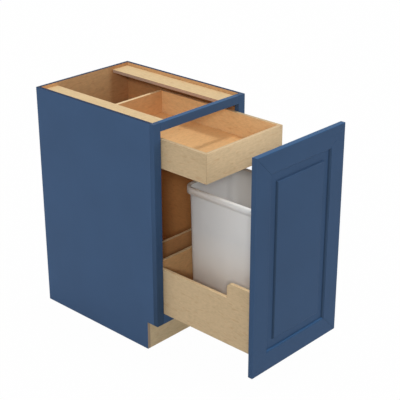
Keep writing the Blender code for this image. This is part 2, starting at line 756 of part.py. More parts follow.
def make_clips(level, underside, front, looks, drawer, levers):
    """The clips that lock a drawer to its slides, each with a thumb lever on a pin."""
    top = underside - GAP
    low = top - CLIP_HEIGHT
    begin = front + BOARD_THICKNESS + GAP
    for side, sign in SIDES:
        name = level + "_lock_clip_" + side
        outer = SLIDE_X + SLIDE_WIDTH / 2.0
        arm_outer = SLIDE_X - SLIDE_WIDTH / 2.0 - GAP
        arm_inner = arm_outer - CLIP_ARM_WIDTH
        block_end = front + SLIDE_START - GAP
        outline = [
            (sign * outer, begin),
            (sign * outer, block_end),
            (sign * arm_outer, block_end),
            (sign * arm_outer, begin + CLIP_ARM_LENGTH),
            (sign * arm_inner, begin + CLIP_ARM_LENGTH),
            (sign * arm_inner, begin),
        ]
        clip = add_part(name, outline_mesh(name, outline, CLIP_HEIGHT), looks["clip"], drawer,
                        (0.0, 0.0, (top + low) / 2.0))
        pivot_x, pivot_y = lever_pivot(front, sign)
        reach = pivot_x - sign * EYE_RADIUS
        root = sign * (arm_inner + CLIP_ARM_WIDTH / 2.0)
        tongue = box_cutter(
            name + "_tongue",
            (min(reach, root), begin + TONGUE_SINK, top - CLIP_TONGUE),
            (max(reach, root), pivot_y + EYE_RADIUS, top - TONGUE_SINK),
            drawer,
        )
        pin = pin_tool(name + "_pin", PIN_RADIUS, low, top - CLIP_TONGUE / 2.0, (pivot_x, pivot_y), drawer)
        join(clip, tongue, pin)
        make_lever(level + "_lock_lever_" + side, sign, low, top - CLIP_TONGUE - GAP,
                   (pivot_x, pivot_y), looks, levers[side])


def pin_tool(name, radius, low, top, place, parent):
    """A hidden upright cylinder that cuts or joins other pieces."""
    shape = bmesh.new()
    bmesh.ops.create_cone(shape, cap_ends=True, segments=PIN_SIDES, radius1=radius, radius2=radius,
                          depth=top - low)
    mesh = bpy.data.meshes.new(name)
    shape.to_mesh(mesh)
    shape.free()
    tool = bpy.data.objects.new(name, mesh)
    put(tool, parent, (place[0], place[1], (top + low) / 2.0))
    hide_cutter(tool)
    return tool


def make_lever(name, sign, low, top, pivot, looks, parent):
    """A thumb lever: an eye on the clip's pin and a slim bar that stands off the clip's arm."""
    half = LEVER_THICKNESS / 2.0
    root_angle = math.asin(half / EYE_RADIUS)
    turn = math.pi / 2.0
    outline = arc((0.0, 0.0), EYE_RADIUS, EYE_RADIUS, turn + root_angle, turn + math.tau - root_angle, PIN_SIDES)
    outline += [
        (half, LEVER_LENGTH - half),
        (half + LEVER_PAD, LEVER_LENGTH),
        (-half - LEVER_PAD, LEVER_LENGTH),
        (-half, LEVER_LENGTH - half),
    ]
    mesh = outline_mesh(name, outline, top - low)
    place = (pivot[0], pivot[1], (top + low) / 2.0)
    lever = add_part(name, mesh, looks["clip"], parent, place, (0.0, 0.0, sign * LEVER_ANGLE))
    bore = pin_tool(name + "_bore", PIN_RADIUS + GAP, low - OVERRUN, top + OVERRUN, pivot, parent)
    cut(lever, bore)


def rounded_ring(half_x, half_y, radius):
    """Points round a rectangle with round corners."""
    ring = []
    corners = ((1, 1, 0.0), (-1, 1, 0.5), (-1, -1, 1.0), (1, -1, 1.5))
    for sign_x, sign_y, turn_share in corners:
        start = turn_share * math.pi
        center = (sign_x * (half_x - radius), sign_y * (half_y - radius))
        ring += arc(center, radius, radius, start, start + math.pi / 2.0, BIN_CORNER_STEPS)
    return ring


def make_bin(looks, parent):
    """The waste bin: a tapered shell with a round foot and a rim that rolls out and down."""
    bay_front = PULLOUT_FRONT + BOARD_THICKNESS
    bay_back = PULLOUT_FRONT + DRAWER_LENGTH - BOARD_THICKNESS - WELL_LENGTH - DIVIDER_THICKNESS
    rim_front = bay_front + BIN_FRONT_SPACE
    rim_back = bay_back - BIN_REAR_SPACE
    half_x = DRAWER_INNER_HALF - BIN_SIDE_SPACE - BIN_RIM_WIDTH
    half_y = (rim_back - rim_front) / 2.0 - BIN_RIM_WIDTH
    foot = PULLOUT_FLOOR + GAP
    height = INNER_LOW - BIN_HEADROOM - foot
    rings = []
    for step in range(CURVE_STEPS + 1):
        angle = math.pi / 2.0 * step / CURVE_STEPS
        inward = BIN_FOOT_RADIUS * (1.0 - math.sin(angle)) + BIN_TAPER
        rings.append((-inward, BIN_FOOT_RADIUS * (1.0 - math.cos(angle))))
    lip = BIN_RIM_WIDTH - BIN_WALL
    crown = height - BIN_WALL
    rings.append((0.0, crown - BIN_RIM_ROUND))
    rings.append((BIN_RIM_ROUND, crown))
    rings.append((lip - BIN_RIM_ROUND, crown - BIN_RIM_ROUND / 2.0))
    rings.append((lip, crown - BIN_RIM_ROUND - BIN_RIM_ROUND / 2.0))
    rings.append((lip, height - BIN_RIM_DROP))

    shape = bmesh.new()
    outset, level = rings[0]
    start = rounded_ring(half_x + outset, half_y + outset, BIN_CORNER_RADIUS + outset)
    corners = [shape.verts.new((x, y, level)) for x, y in start]
    shape.faces.new(corners)
    edges = [shape.edges.get((a, b)) for a, b in zip(corners, corners[1:] + corners[:1])]
    for outset, level in rings[1:]:
        ring = rounded_ring(half_x + outset, half_y + outset, BIN_CORNER_RADIUS + outset)
        grown = bmesh.ops.extrude_edge_only(shape, edges=edges)["geom"]
        lifted = [item for item in grown if isinstance(item, bmesh.types.BMVert)]
        edges = [item for item in grown if isinstance(item, bmesh.types.BMEdge)]
        edges = [edge for edge in edges if edge.verts[0] in lifted and edge.verts[1] in lifted]
        upright = {}
        for vertex in lifted:
            for edge in vertex.link_edges:
                other = edge.other_vert(vertex)
                if other in corners:
                    upright[corners.index(other)] = vertex
        corners = [upright[index] for index in range(len(ring))]
        for vertex, (x, y) in zip(corners, ring):
            vertex.co = (x, y, level)
    bmesh.ops.recalc_face_normals(shape, faces=shape.faces)
    lowest = min(shape.faces, key=lambda face: face.calc_center_median().z)
    if lowest.normal.z > 0.0:
        bmesh.ops.reverse_faces(shape, faces=shape.faces)
    mesh = bpy.data.meshes.new("waste_bin")
    shape.to_mesh(mesh)
    shape.free()
    place = (0.0, (rim_front + rim_back) / 2.0, foot)
    part = add_part("waste_bin", mesh, looks["bin"], parent, place)
    wall = part.modifiers.new("wall", "SOLIDIFY")
    wall.thickness = BIN_WALL
    wall.offset = -1.0
    wall.use_even_offset = True
    mesh.shade_smooth()
    mesh.set_sharp_from_angle(angle=BIN_SHARP_ANGLE)
    return part


def lever_carriers(level, front):
    """The empties on which a pair of levers turns."""
    made = {}
    for side, sign in SIDES:
        x, y = lever_pivot(front, sign)
        made[side] = carrier(level + "_lever_axis_" + side, (x, y, 0.0))
    return made


def main():
    """Builds the whole cabinet."""
    clear_scene()
    looks = make_finishes()
    pullout = carrier("pullout_slide_axis", (0.0, DOOR_BACK, PULLOUT_UNDERSIDE))
    bin_axis = carrier("bin_lift_axis", (0.0, DOOR_BACK, PULLOUT_FLOOR))
    drawer = carrier("inner_drawer_slide_axis", (0.0, INNER_FRONT, INNER_UNDERSIDE))
    lower_middles = carrier("lower_middles_axis", (0.0, FRAME_FRONT, PULLOUT_UNDERSIDE))
    upper_middles = carrier("upper_middles_axis", (0.0, FRAME_FRONT, INNER_UNDERSIDE))

    make_side_panels(looks)
    make_box(looks)
    make_face_frame(looks)
    make_cleats(looks)
    make_door(looks, pullout)
    make_pullout(looks, pullout)
    make_bin(looks, bin_axis)
    make_inner_drawer(looks, drawer)
    closed_gap = BUMPER_THICKNESS + GAP + GAP
    make_slides("lower", PULLOUT_UNDERSIDE, PULLOUT_FRONT, DOOR_OPEN - closed_gap, looks, pullout, lower_middles)
    make_slides("upper", INNER_UNDERSIDE, INNER_FRONT, INNER_OPEN, looks, drawer, upper_middles)
    make_clips("lower", PULLOUT_UNDERSIDE, PULLOUT_FRONT, looks, pullout,
               lever_carriers("lower", PULLOUT_FRONT))
    make_clips("upper", INNER_UNDERSIDE, INNER_FRONT, looks, drawer,
               lever_carriers("upper", INNER_FRONT))
    bpy.context.view_layer.update()


main()
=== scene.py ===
"""Dresses the pull-out trash cabinet: eased boards, a finer bin, screws, finishes, light and camera."""
import json
import math

import bmesh
import bpy
from mathutils import Matrix, Vector

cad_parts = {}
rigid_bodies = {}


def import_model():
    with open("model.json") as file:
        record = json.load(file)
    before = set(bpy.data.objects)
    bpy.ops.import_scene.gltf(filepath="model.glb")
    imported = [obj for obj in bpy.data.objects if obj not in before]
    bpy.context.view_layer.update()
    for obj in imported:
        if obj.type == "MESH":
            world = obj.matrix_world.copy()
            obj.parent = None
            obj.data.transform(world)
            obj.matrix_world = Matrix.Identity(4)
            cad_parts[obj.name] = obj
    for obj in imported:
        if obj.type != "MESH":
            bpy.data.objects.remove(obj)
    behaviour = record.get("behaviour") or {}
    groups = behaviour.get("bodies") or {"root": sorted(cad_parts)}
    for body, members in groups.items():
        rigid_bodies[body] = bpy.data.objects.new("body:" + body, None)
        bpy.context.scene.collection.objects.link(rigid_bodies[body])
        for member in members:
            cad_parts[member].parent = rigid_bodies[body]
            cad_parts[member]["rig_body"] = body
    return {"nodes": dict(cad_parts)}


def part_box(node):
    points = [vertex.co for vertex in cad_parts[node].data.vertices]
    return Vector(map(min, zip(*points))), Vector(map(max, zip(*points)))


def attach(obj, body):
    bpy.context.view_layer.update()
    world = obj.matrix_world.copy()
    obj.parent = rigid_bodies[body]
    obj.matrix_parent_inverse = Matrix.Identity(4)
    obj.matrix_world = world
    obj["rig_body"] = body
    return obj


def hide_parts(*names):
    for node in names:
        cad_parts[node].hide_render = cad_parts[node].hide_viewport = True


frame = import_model()

bl_info = {
    "name": "Pull-out trash cabinet",
    "version": (1, 0, 0),
    "blender": (4, 5, 0),
    "location": "3D View > Sidebar > Cabinet",
    "description": "Builds the finished pieces of a base cabinet with a waste bin pull-out",
    "category": "Object",
}

# How copies of the solids are cleaned and shaded
MERGE_DISTANCE = 0.00001
FLAT_ANGLE = math.radians(1.0)
EASE_ANGLE = math.radians(50.0)
SMOOTH_ANGLE = math.radians(38.0)
SHORTEST_EASED = 0.004
EASE_STEPS = 2

# The shares of its normal along an axis past which a face looks squarely that way, or leans to it
FACING = 0.7
LEANING = 0.3

# Where each painted shade, painted light and painted reflection begins and ends: the axis, then where it is
# clear and where it is full
CARCASE_DEPTH_SHADE = ("Z", 0.84, 0.64)
UNDER_STRIP_SHADE = ("Z", 0.866, 0.852)
BACK_SHADOW = ("X", 0.112, 0.136)
STILE_FOOT_SHADE = ("Z", 0.6, 0.14)
BIN_FOOT_BOUNCE_LIGHT = ("Z", 0.34, 0.5)
BIN_REAR_SHADE = ("Y", -0.42, -0.15)
BIN_RIGHT_WALL_SHADE = ("X", 0.075, 0.118)
RIM_REAR_REFLECTION = ("Y", -0.4, -0.18)

# How rough the finishes are, how fine the plastics' grain is, and how much of the light sinks into the bin
PAINT_ROUGHNESS = 0.42
EDGE_ROUGHNESS = 0.5
BIN_ROUGHNESS = 0.36
RIM_ROUGHNESS = 0.3
CLIP_ROUGHNESS = 0.5
BIN_GRAIN = 700.0
CLIP_GRAIN = 900.0
BIN_GLOW = 0.7
RIM_GLOW = 0.5
PLIES_PER_METRE = 440.0

# The boards whose inner faces or edges take other painted light and shade than the rest of their drawer box
INNER_LOOKS = {
    "pullout_divider": "floor", "pullout_side_left": "floor", "pullout_bottom": "floor",
    "inner_drawer_bottom": "floor", "inner_drawer_back": "carcase",
}
EDGE_LOOKS = {"inner_drawer_back": "edge"}

# Steps of the bin's curves
BIN_CORNER_STEPS = 12
BIN_FOOT_STEPS = 6
BIN_RIM_STEPS = 8

# A screw's head: how many sides it has, then, as shares of its radius, how high it rises and how far each
# step of its crown goes in and up, and last how much of the cross recess's reach is left between its arms
HEAD_SEGMENTS = 24
HEAD_RISE = 0.34
HEAD_STEPS = ((0.1, 0.06), (0.16, 0.05), (0.24, 0.03))
RECESS_WAIST = 0.4

# Screw places: shares of half the front board's width, of its height, and of a runner's length
DOOR_SCREWS_ACROSS = (-0.8, 0.8)
DOOR_SCREWS_UP = (0.25, 0.8)
RUNNER_SCREWS_ALONG = (0.06, 0.45, 0.92)

# How far off the lamps hang, and the camera's sensor in millimetres
LAMP_DISTANCE = 3.0
SENSOR_WIDTH = 36.0

# Each side with its way along X, and the levels of the slides
SIDES = {"left": -1.0, "right": 1.0}
LEVELS = ("lower", "upper")


class CabinetSizes(bpy.types.PropertyGroup):
    """The sizes that the finishing adds to the solids."""

    board_easing: bpy.props.FloatProperty(
        name="Board easing", description="Rounding of a wooden board's edges",
        default=0.0007, min=0.0, unit="LENGTH", subtype="DISTANCE")
    frame_easing: bpy.props.FloatProperty(
        name="Frame easing", description="Rounding of the painted frame's edges",
        default=0.0009, min=0.0, unit="LENGTH", subtype="DISTANCE")
    steel_easing: bpy.props.FloatProperty(
        name="Steel easing", description="Rounding of the folded steel's edges",
        default=0.0003, min=0.0, unit="LENGTH", subtype="DISTANCE")
    clip_easing: bpy.props.FloatProperty(
        name="Clip easing", description="Rounding of the locking clips' edges",
        default=0.0004, min=0.0, unit="LENGTH", subtype="DISTANCE")
    bin_wall: bpy.props.FloatProperty(
        name="Bin wall", description="Thickness of the waste bin's wall",
        default=0.0024, unit="LENGTH", subtype="DISTANCE")
    bin_rim_width: bpy.props.FloatProperty(
        name="Bin rim width", description="How far the rim stands out from the body",
        default=0.0115, unit="LENGTH", subtype="DISTANCE")
    bin_rim_drop: bpy.props.FloatProperty(
        name="Bin rim drop", description="How far the rim's skirt hangs down",
        default=0.0245, unit="LENGTH", subtype="DISTANCE")
    bin_corner: bpy.props.FloatProperty(
        name="Bin corner", description="Radius of the bin's upright corners under the rim",
        default=0.034, unit="LENGTH", subtype="DISTANCE")
    bin_taper: bpy.props.FloatProperty(
        name="Bin taper", description="How much each side leans in down to the foot",
        default=0.0092, unit="LENGTH", subtype="DISTANCE")
    bin_foot: bpy.props.FloatProperty(
        name="Bin foot", description="Radius of the rounding round the foot",
        default=0.012, unit="LENGTH", subtype="DISTANCE")
    screw_radius: bpy.props.FloatProperty(
        name="Screw head", description="Radius of a screw's head",
        default=0.0038, unit="LENGTH", subtype="DISTANCE")
    runner_steel: bpy.props.FloatProperty(
        name="Runner steel", description="Thickness of a runner's steel",
        default=0.0012, unit="LENGTH", subtype="DISTANCE")
    runner_screw_height: bpy.props.FloatProperty(
        name="Runner screw height", description="Height of the screws over a runner's lower edge",
        default=0.0068, unit="LENGTH", subtype="DISTANCE")


class CabinetColours(bpy.types.PropertyGroup):
    """The colours of the finishes, and the tints of the painted shade, light and reflection laid over them.
    """

    # On the door panel's ledges this paint is a lighter copy of the door's paint: painted light where they
    # look up.
    paint: bpy.props.FloatVectorProperty(
        name="Blue paint", description="Satin paint of the side panels, the back and the door panel's ledges",
        subtype="COLOR", default=(0.0545, 0.105, 0.205), min=0.0, max=1.0)
    # Painted shade: a darker copy of the blue paint on the face frame and the door.
    door_paint: bpy.props.FloatVectorProperty(
        name="Door paint", description="The same paint on the face frame and door, a shade deeper",
        subtype="COLOR", default=(0.0447, 0.0888, 0.175), min=0.0, max=1.0)
    # Painted light: a lighter copy of the door's paint on faces that look up, the door frame's ledges and the
    # front rail's top.
    ledge_paint: bpy.props.FloatVectorProperty(
        name="Ledge paint", description="The same paint on the door frame's ledges and the front rail's top",
        subtype="COLOR", default=(0.046, 0.118, 0.25), min=0.0, max=1.0)
    # Painted shade: a darker copy of the door's paint on the faces of the upright mouldings that look left.
    groove_paint: bpy.props.FloatVectorProperty(
        name="Groove paint", description="The door's paint where it pools along the upright mouldings",
        subtype="COLOR", default=(0.036, 0.066, 0.118), min=0.0, max=1.0)
    edge_paint: bpy.props.FloatVectorProperty(
        name="Edge paint", description="Paint on the top edges of the panels",
        subtype="COLOR", default=(0.013, 0.032, 0.08), min=0.0, max=1.0)
    maple: bpy.props.FloatVectorProperty(
        name="Drawer maple", description="Clear lacquered maple of the drawers",
        subtype="COLOR", default=(0.58, 0.43, 0.255), min=0.0, max=1.0)
    # Painted light: the maple made paler and warmer on the inner drawer's inner faces.
    maple_inside: bpy.props.FloatVectorProperty(
        name="Inside maple", description="Lacquered maple inside the inner drawer",
        subtype="COLOR", default=(0.77, 0.51, 0.258), min=0.0, max=1.0)
    # Painted light: the maple made paler and warmer on the drawers' floors, the divider and the pull-out's
    # left side.
    maple_floor: bpy.props.FloatVectorProperty(
        name="Floor maple",
        description="Warm lacquered maple of the drawers' floors, the divider and the pull-out's left side",
        subtype="COLOR", default=(0.78, 0.468, 0.212), min=0.0, max=1.0)
    # Painted shade: the maple made darker and redder inside the carcase and the pull-out.
    maple_carcase: bpy.props.FloatVectorProperty(
        name="Carcase maple", description="Darker lacquered maple inside the carcase and the pull-out",
        subtype="COLOR", default=(0.63, 0.37, 0.175), min=0.0, max=1.0)
    # Painted shade: the carcase's maple turns darker and redder low down inside.
    carcase_depth_shade_tint: bpy.props.FloatVectorProperty(
        name="Deep tint", description="What the carcase's maple is multiplied by low down inside",
        subtype="COLOR", default=(0.95, 0.79, 0.66), min=0.0, max=1.0)
    # Painted light: the maple made paler on the strips' flat faces, whose tops catch the light.
    maple_strip: bpy.props.FloatVectorProperty(
        name="Strip maple", description="Maple of the strips under the top",
        subtype="COLOR", default=(0.77, 0.565, 0.31), min=0.0, max=1.0)
    # The top edges are solid maple; their paler colour is painted light falling on them.
    maple_edge: bpy.props.FloatVectorProperty(
        name="Edge maple",
        description="Pale solid maple along the top edges of the pull-out and of the inner drawer's back",
        subtype="COLOR", default=(0.92, 0.66, 0.38), min=0.0, max=1.0)
    maple_plain: bpy.props.FloatVectorProperty(
        name="Plain maple", description="Unlacquered plywood of the toe kick board",
        subtype="COLOR", default=(0.59, 0.47, 0.29), min=0.0, max=1.0)
    fleck: bpy.props.FloatVectorProperty(
        name="Fleck tint", description="What the maple's colour is multiplied by in its pinkish flecks",
        subtype="COLOR", default=(0.84, 0.69, 0.62), min=0.0, max=1.0)
    ply: bpy.props.FloatVectorProperty(
        name="Plywood edge", description="Light plies of the panels' cut edges",
        subtype="COLOR", default=(0.42, 0.345, 0.26), min=0.0, max=1.0)
    strip_ply: bpy.props.FloatVectorProperty(
        name="Strip edge", description="Light plies of the top strips' edges",
        subtype="COLOR", default=(0.6, 0.44, 0.345), min=0.0, max=1.0)
    steel: bpy.props.FloatVectorProperty(
        name="Zinc", description="Zinc plated steel of slides and screws",
        subtype="COLOR", default=(0.56, 0.57, 0.58), min=0.0, max=1.0)
    bin_plastic: bpy.props.FloatVectorProperty(
        name="Bin plastic", description="Light grey moulded plastic",
        subtype="COLOR", default=(0.755, 0.745, 0.73), min=0.0, max=1.0)
    # Painted reflected light: the bin's plastic made paler and warmer low down, as if lit from the wood round
    # it.
    bin_foot_bounce_light: bpy.props.FloatVectorProperty(
        name="Bin foot plastic", description="The bin low down, where the wood round it warms it",
        subtype="COLOR", default=(0.95, 0.86, 0.77), min=0.0, max=1.0)
    # Painted light: a paler copy of the bin's plastic on its inner face.
    bin_inside: bpy.props.FloatVectorProperty(
        name="Bin inside", description="The bin's paler inner face",
        subtype="COLOR", default=(0.95, 0.93, 0.9), min=0.0, max=1.0)
    bin_rim: bpy.props.FloatVectorProperty(
        name="Bin rim", description="The bin's polished rim",
        subtype="COLOR", default=(0.84, 0.82, 0.79), min=0.0, max=1.0)
    clip_plastic: bpy.props.FloatVectorProperty(
        name="Clip plastic", description="Dark grey moulded plastic",
        subtype="COLOR", default=(0.07, 0.073, 0.077), min=0.0, max=1.0)
    # Painted shade: the side walls' maple darkens under the strips and turns redder again low down.
    wall_strip_shade_tint: bpy.props.FloatVectorProperty(
        name="Wall tint", description="What the side walls' maple is multiplied by under the strips",
        subtype="COLOR", default=(0.82, 0.71, 0.65), min=0.0, max=2.0)
    wall_low_shade_tint: bpy.props.FloatVectorProperty(
        name="Deep wall tint", description="What the side walls' maple is multiplied by again low down",
        subtype="COLOR", default=(1.26, 1.16, 0.93), min=0.0, max=2.0)
    # Painted shadow: the right strip's shadow on the back, beside the right wall.
    back_strip_shadow_tint: bpy.props.FloatVectorProperty(
        name="Back tint", description="What the back's maple is multiplied by beside the right wall",
        subtype="COLOR", default=(0.8, 0.7, 0.64), min=0.0, max=2.0)
    # Painted shade: the stiles' paint darkens towards the floor.
    stile_foot_shade_tint: bpy.props.FloatVectorProperty(
        name="Stile tint", description="What the stiles' paint is multiplied by near the floor",
        subtype="COLOR", default=(0.7, 0.68, 0.65), min=0.0, max=2.0)
    # Painted shade: the bin darkens towards its rear.
    bin_rear_shade_tint: bpy.props.FloatVectorProperty(
        name="Bin rear tint", description="What the bin's colour is multiplied by at its rear",
        subtype="COLOR", default=(0.62, 0.605, 0.6), min=0.0, max=2.0)
    # Painted shade: the bin's inside darkens along its right wall.
    bin_wall_shade_tint: bpy.props.FloatVectorProperty(
        name="Bin wall tint", description="What the bin's inside is multiplied by along its right wall",
        subtype="COLOR", default=(0.6, 0.6, 0.6), min=0.0, max=2.0)
    # Painted reflection and shade: the rim turns darker and browner at its rear, mirroring the carcase's
    # maple.
    rim_rear_reflection_tint: bpy.props.FloatVectorProperty(
        name="Rim rear tint", description="What the rim's colour is multiplied by at its rear",
        subtype="COLOR", default=(0.62, 0.55, 0.5), min=0.0, max=2.0)
    bumper: bpy.props.FloatVectorProperty(
        name="Bumper", description="Clear soft bumpers behind the door",
        subtype="COLOR", default=(0.86, 0.87, 0.87), min=0.0, max=1.0)


class CabinetStage(bpy.types.PropertyGroup):
    """Light, floor and camera."""

    daylight: bpy.props.FloatProperty(
        name="Room light", description="Even light from all round", default=0.54, min=0.0)
    top_lamp: bpy.props.FloatProperty(
        name="Top lamp", description="Strength of the soft lamp overhead", default=0.85, min=0.0)
    top_lamp_size: bpy.props.FloatProperty(
        name="Top lamp size", description="Angle that the top lamp spans, which softens its shadows",
        default=math.radians(10.0), unit="ROTATION", subtype="ANGLE")
    top_heading: bpy.props.FloatVectorProperty(
        name="Top lamp heading", description="The way the top lamp shines",
        subtype="DIRECTION", default=(-0.18, 0.02, -1.0))
    front_lamp: bpy.props.FloatProperty(
        name="Front lamp", description="Strength of the lamp behind the camera", default=0.78, min=0.0)
    front_lamp_size: bpy.props.FloatProperty(
        name="Front lamp size", description="Angle that the front lamp spans",
        default=math.radians(8.0), unit="ROTATION", subtype="ANGLE")
    front_heading: bpy.props.FloatVectorProperty(
        name="Front lamp heading", description="The way the front lamp shines",
        subtype="DIRECTION", default=(0.667, 0.627, -0.402))
    fill_lamp: bpy.props.FloatProperty(
        name="Fill lamp", description="Power of the small panel that fills the gap behind the door",
        default=0.42, min=0.0)
    fill_size: bpy.props.FloatVectorProperty(
        name="Fill lamp size", description="Width and height of the fill lamp",
        size=2, subtype="XYZ_LENGTH", unit="LENGTH", default=(0.4, 0.12))
    fill_place: bpy.props.FloatVectorProperty(
        name="Fill lamp place", description="Where the fill lamp hangs",
        subtype="TRANSLATION", unit="LENGTH", default=(0.0, -0.47, 0.9))
    fill_heading: bpy.props.FloatVectorProperty(
        name="Fill lamp heading", description="The way the fill lamp shines",
        subtype="DIRECTION", default=(0.0, 0.75, -0.65))
    floor_glow: bpy.props.FloatProperty(
        name="Floor glow", description="Share of plain white in the floor as it is seen",
        default=0.985, min=0.0, max=1.0)
    floor_colour: bpy.props.FloatVectorProperty(
        name="Floor", description="The pale floor as it lights the cabinet",
        subtype="COLOR", default=(0.8, 0.8, 0.8), min=0.0, max=1.0)
    floor_reach: bpy.props.FloatProperty(
        name="Floor reach", description="Half the floor's width",
        default=30.0, unit="LENGTH", subtype="DISTANCE")
    camera_place: bpy.props.FloatVectorProperty(
        name="Camera place", description="Where the camera stands",
        subtype="TRANSLATION", unit="LENGTH", default=(-2.5545, -2.4766, 2.0691))
    camera_azimuth: bpy.props.FloatProperty(
        name="Camera azimuth", description="The camera's heading, from +Y towards +X",
        default=math.radians(46.79), unit="ROTATION", subtype="ANGLE")
    camera_dip: bpy.props.FloatProperty(
        name="Camera dip", description="How far the camera looks down",
        default=math.radians(23.67), unit="ROTATION", subtype="ANGLE")
    camera_roll: bpy.props.FloatProperty(
        name="Camera roll", description="The camera's lean",
        default=math.radians(0.14), unit="ROTATION", subtype="ANGLE")
    lens: bpy.props.FloatProperty(
        name="Lens", description="Focal length in millimetres", default=96.76)


class NodeBench:
    """A material and the short ways to add and join its nodes."""

    def __init__(self, name):
        self.material = bpy.data.materials.new(name)
        self.material.use_nodes = True
        self.tree = self.material.node_tree
        self.tree.nodes.clear()
        self.shader = self.add("ShaderNodeBsdfPrincipled")
        end = self.add("ShaderNodeOutputMaterial")
        self.tree.links.new(self.shader.outputs["BSDF"], end.inputs["Surface"])
        self.place = self.add("ShaderNodeTexCoord").outputs["Object"]

    def add(self, kind, inputs=None, **settings):
        """Adds a node and sets or joins its inputs."""
        node = self.tree.nodes.new(kind)
        for key, value in settings.items():
            setattr(node, key, value)
        for key, value in (inputs or {}).items():
            self.feed(node.inputs[key], value)
        return node

    def feed(self, socket, value):
        """Joins an output to a socket, or sets the socket."""
        if isinstance(value, bpy.types.NodeSocket):
            self.tree.links.new(value, socket)
        else:
            socket.default_value = value

    def stretched(self, scale, location=(0.0, 0.0, 0.0)):
        """Object coordinates scaled along each axis."""
        node = self.add("ShaderNodeMapping", {"Vector": self.place, "Scale": scale, "Location": location})
        return node.outputs["Vector"]

    def noise(self, vector, scale=1.0, detail=2.0, roughness=0.5, distortion=0.0):
        """A noise value between 0 and 1."""
        node = self.add("ShaderNodeTexNoise", {
            "Vector": vector, "Scale": scale, "Detail": detail, "Roughness": roughness,
            "Distortion": distortion})
        return node.outputs["Fac"]

    def spread(self, value, low, high, new_low=0.0, new_high=1.0):
        """Maps a value from one range onto another, held at its ends."""
        node = self.add("ShaderNodeMapRange", {
            "Value": value, "From Min": low, "From Max": high, "To Min": new_low, "To Max": new_high})
        return node.outputs["Result"]

    def between(self, mark, low, high):
        """Maps a mark's 0 and 1 onto two values."""
        return self.spread(mark, 0.0, 1.0, low, high)

    def marks(self, scale, low=0.3, high=0.7, location=(0.0, 0.0, 0.0), **noise):
        """Noise scaled along each axis, with the range between low and high spread to 0 and 1."""
        return self.spread(self.noise(self.stretched(scale, location), **noise), low, high)

    def mix(self, share, first, second, blend="MIX"):
        """Mixes two colours."""
        node = self.add("ShaderNodeMix", data_type="RGBA", blend_type=blend)
        self.feed(node.inputs[0], share)
        self.feed(node.inputs[6], first)
        self.feed(node.inputs[7], second)
        return node.outputs[2]

    def laid_over(self, body, mark, shade, most):
        """A colour with a shade laid over it where a mark shows, up to a share."""
        return self.mix(self.between(mark, 0.0, most), body, shade)

    def with_painted_shades(self, body, painted_shades):
        """A colour tinted from one place to another along an axis, once for each band of painted shade, light
        and reflection.
        """
        for axis, start, end, tint in painted_shades:
            apart = self.add("ShaderNodeSeparateXYZ", {"Vector": self.place})
            body = self.mix(self.spread(apart.outputs[axis], start, end), body, (*tint, 1.0), "MULTIPLY")
        return body

    def maths(self, operation, first, second):
        """The value of a Math node."""
        node = self.add("ShaderNodeMath", {0: first, 1: second}, operation=operation)
        return node.outputs["Value"]

    def bump(self, height, strength, distance):
        """Sends a height to the shader's normal."""
        node = self.add("ShaderNodeBump", {"Height": height, "Strength": strength, "Distance": distance})
        self.feed(self.shader.inputs["Normal"], node.outputs["Normal"])

    def surface(self, **inputs):
        """Sets or joins the shader's own inputs, their names written with low lines."""
        for key, value in inputs.items():
            name = " ".join(word.capitalize() if word != "ior" else "IOR" for word in key.split("_"))
            self.feed(self.shader.inputs[name], value)


def solid(colour, share=1.0):
    """A colour with its alpha, made lighter or darker by a share."""
    return (*[min(1.0, part * share) for part in colour], 1.0)


def tinted(colour, tint, share=1.0):
    """A colour multiplied by a tint and a share."""
    return solid([part * by for part, by in zip(colour, tint)], share)


def tint_to(start, end):
    """What turns one colour into another by multiplying."""
    return [high / low for low, high in zip(start, end)]


def along(axis, long_scale, cross_scale):
    """Texture scales for a board whose grain runs along an axis."""
    return tuple(long_scale if name == axis else cross_scale for name in "xyz")


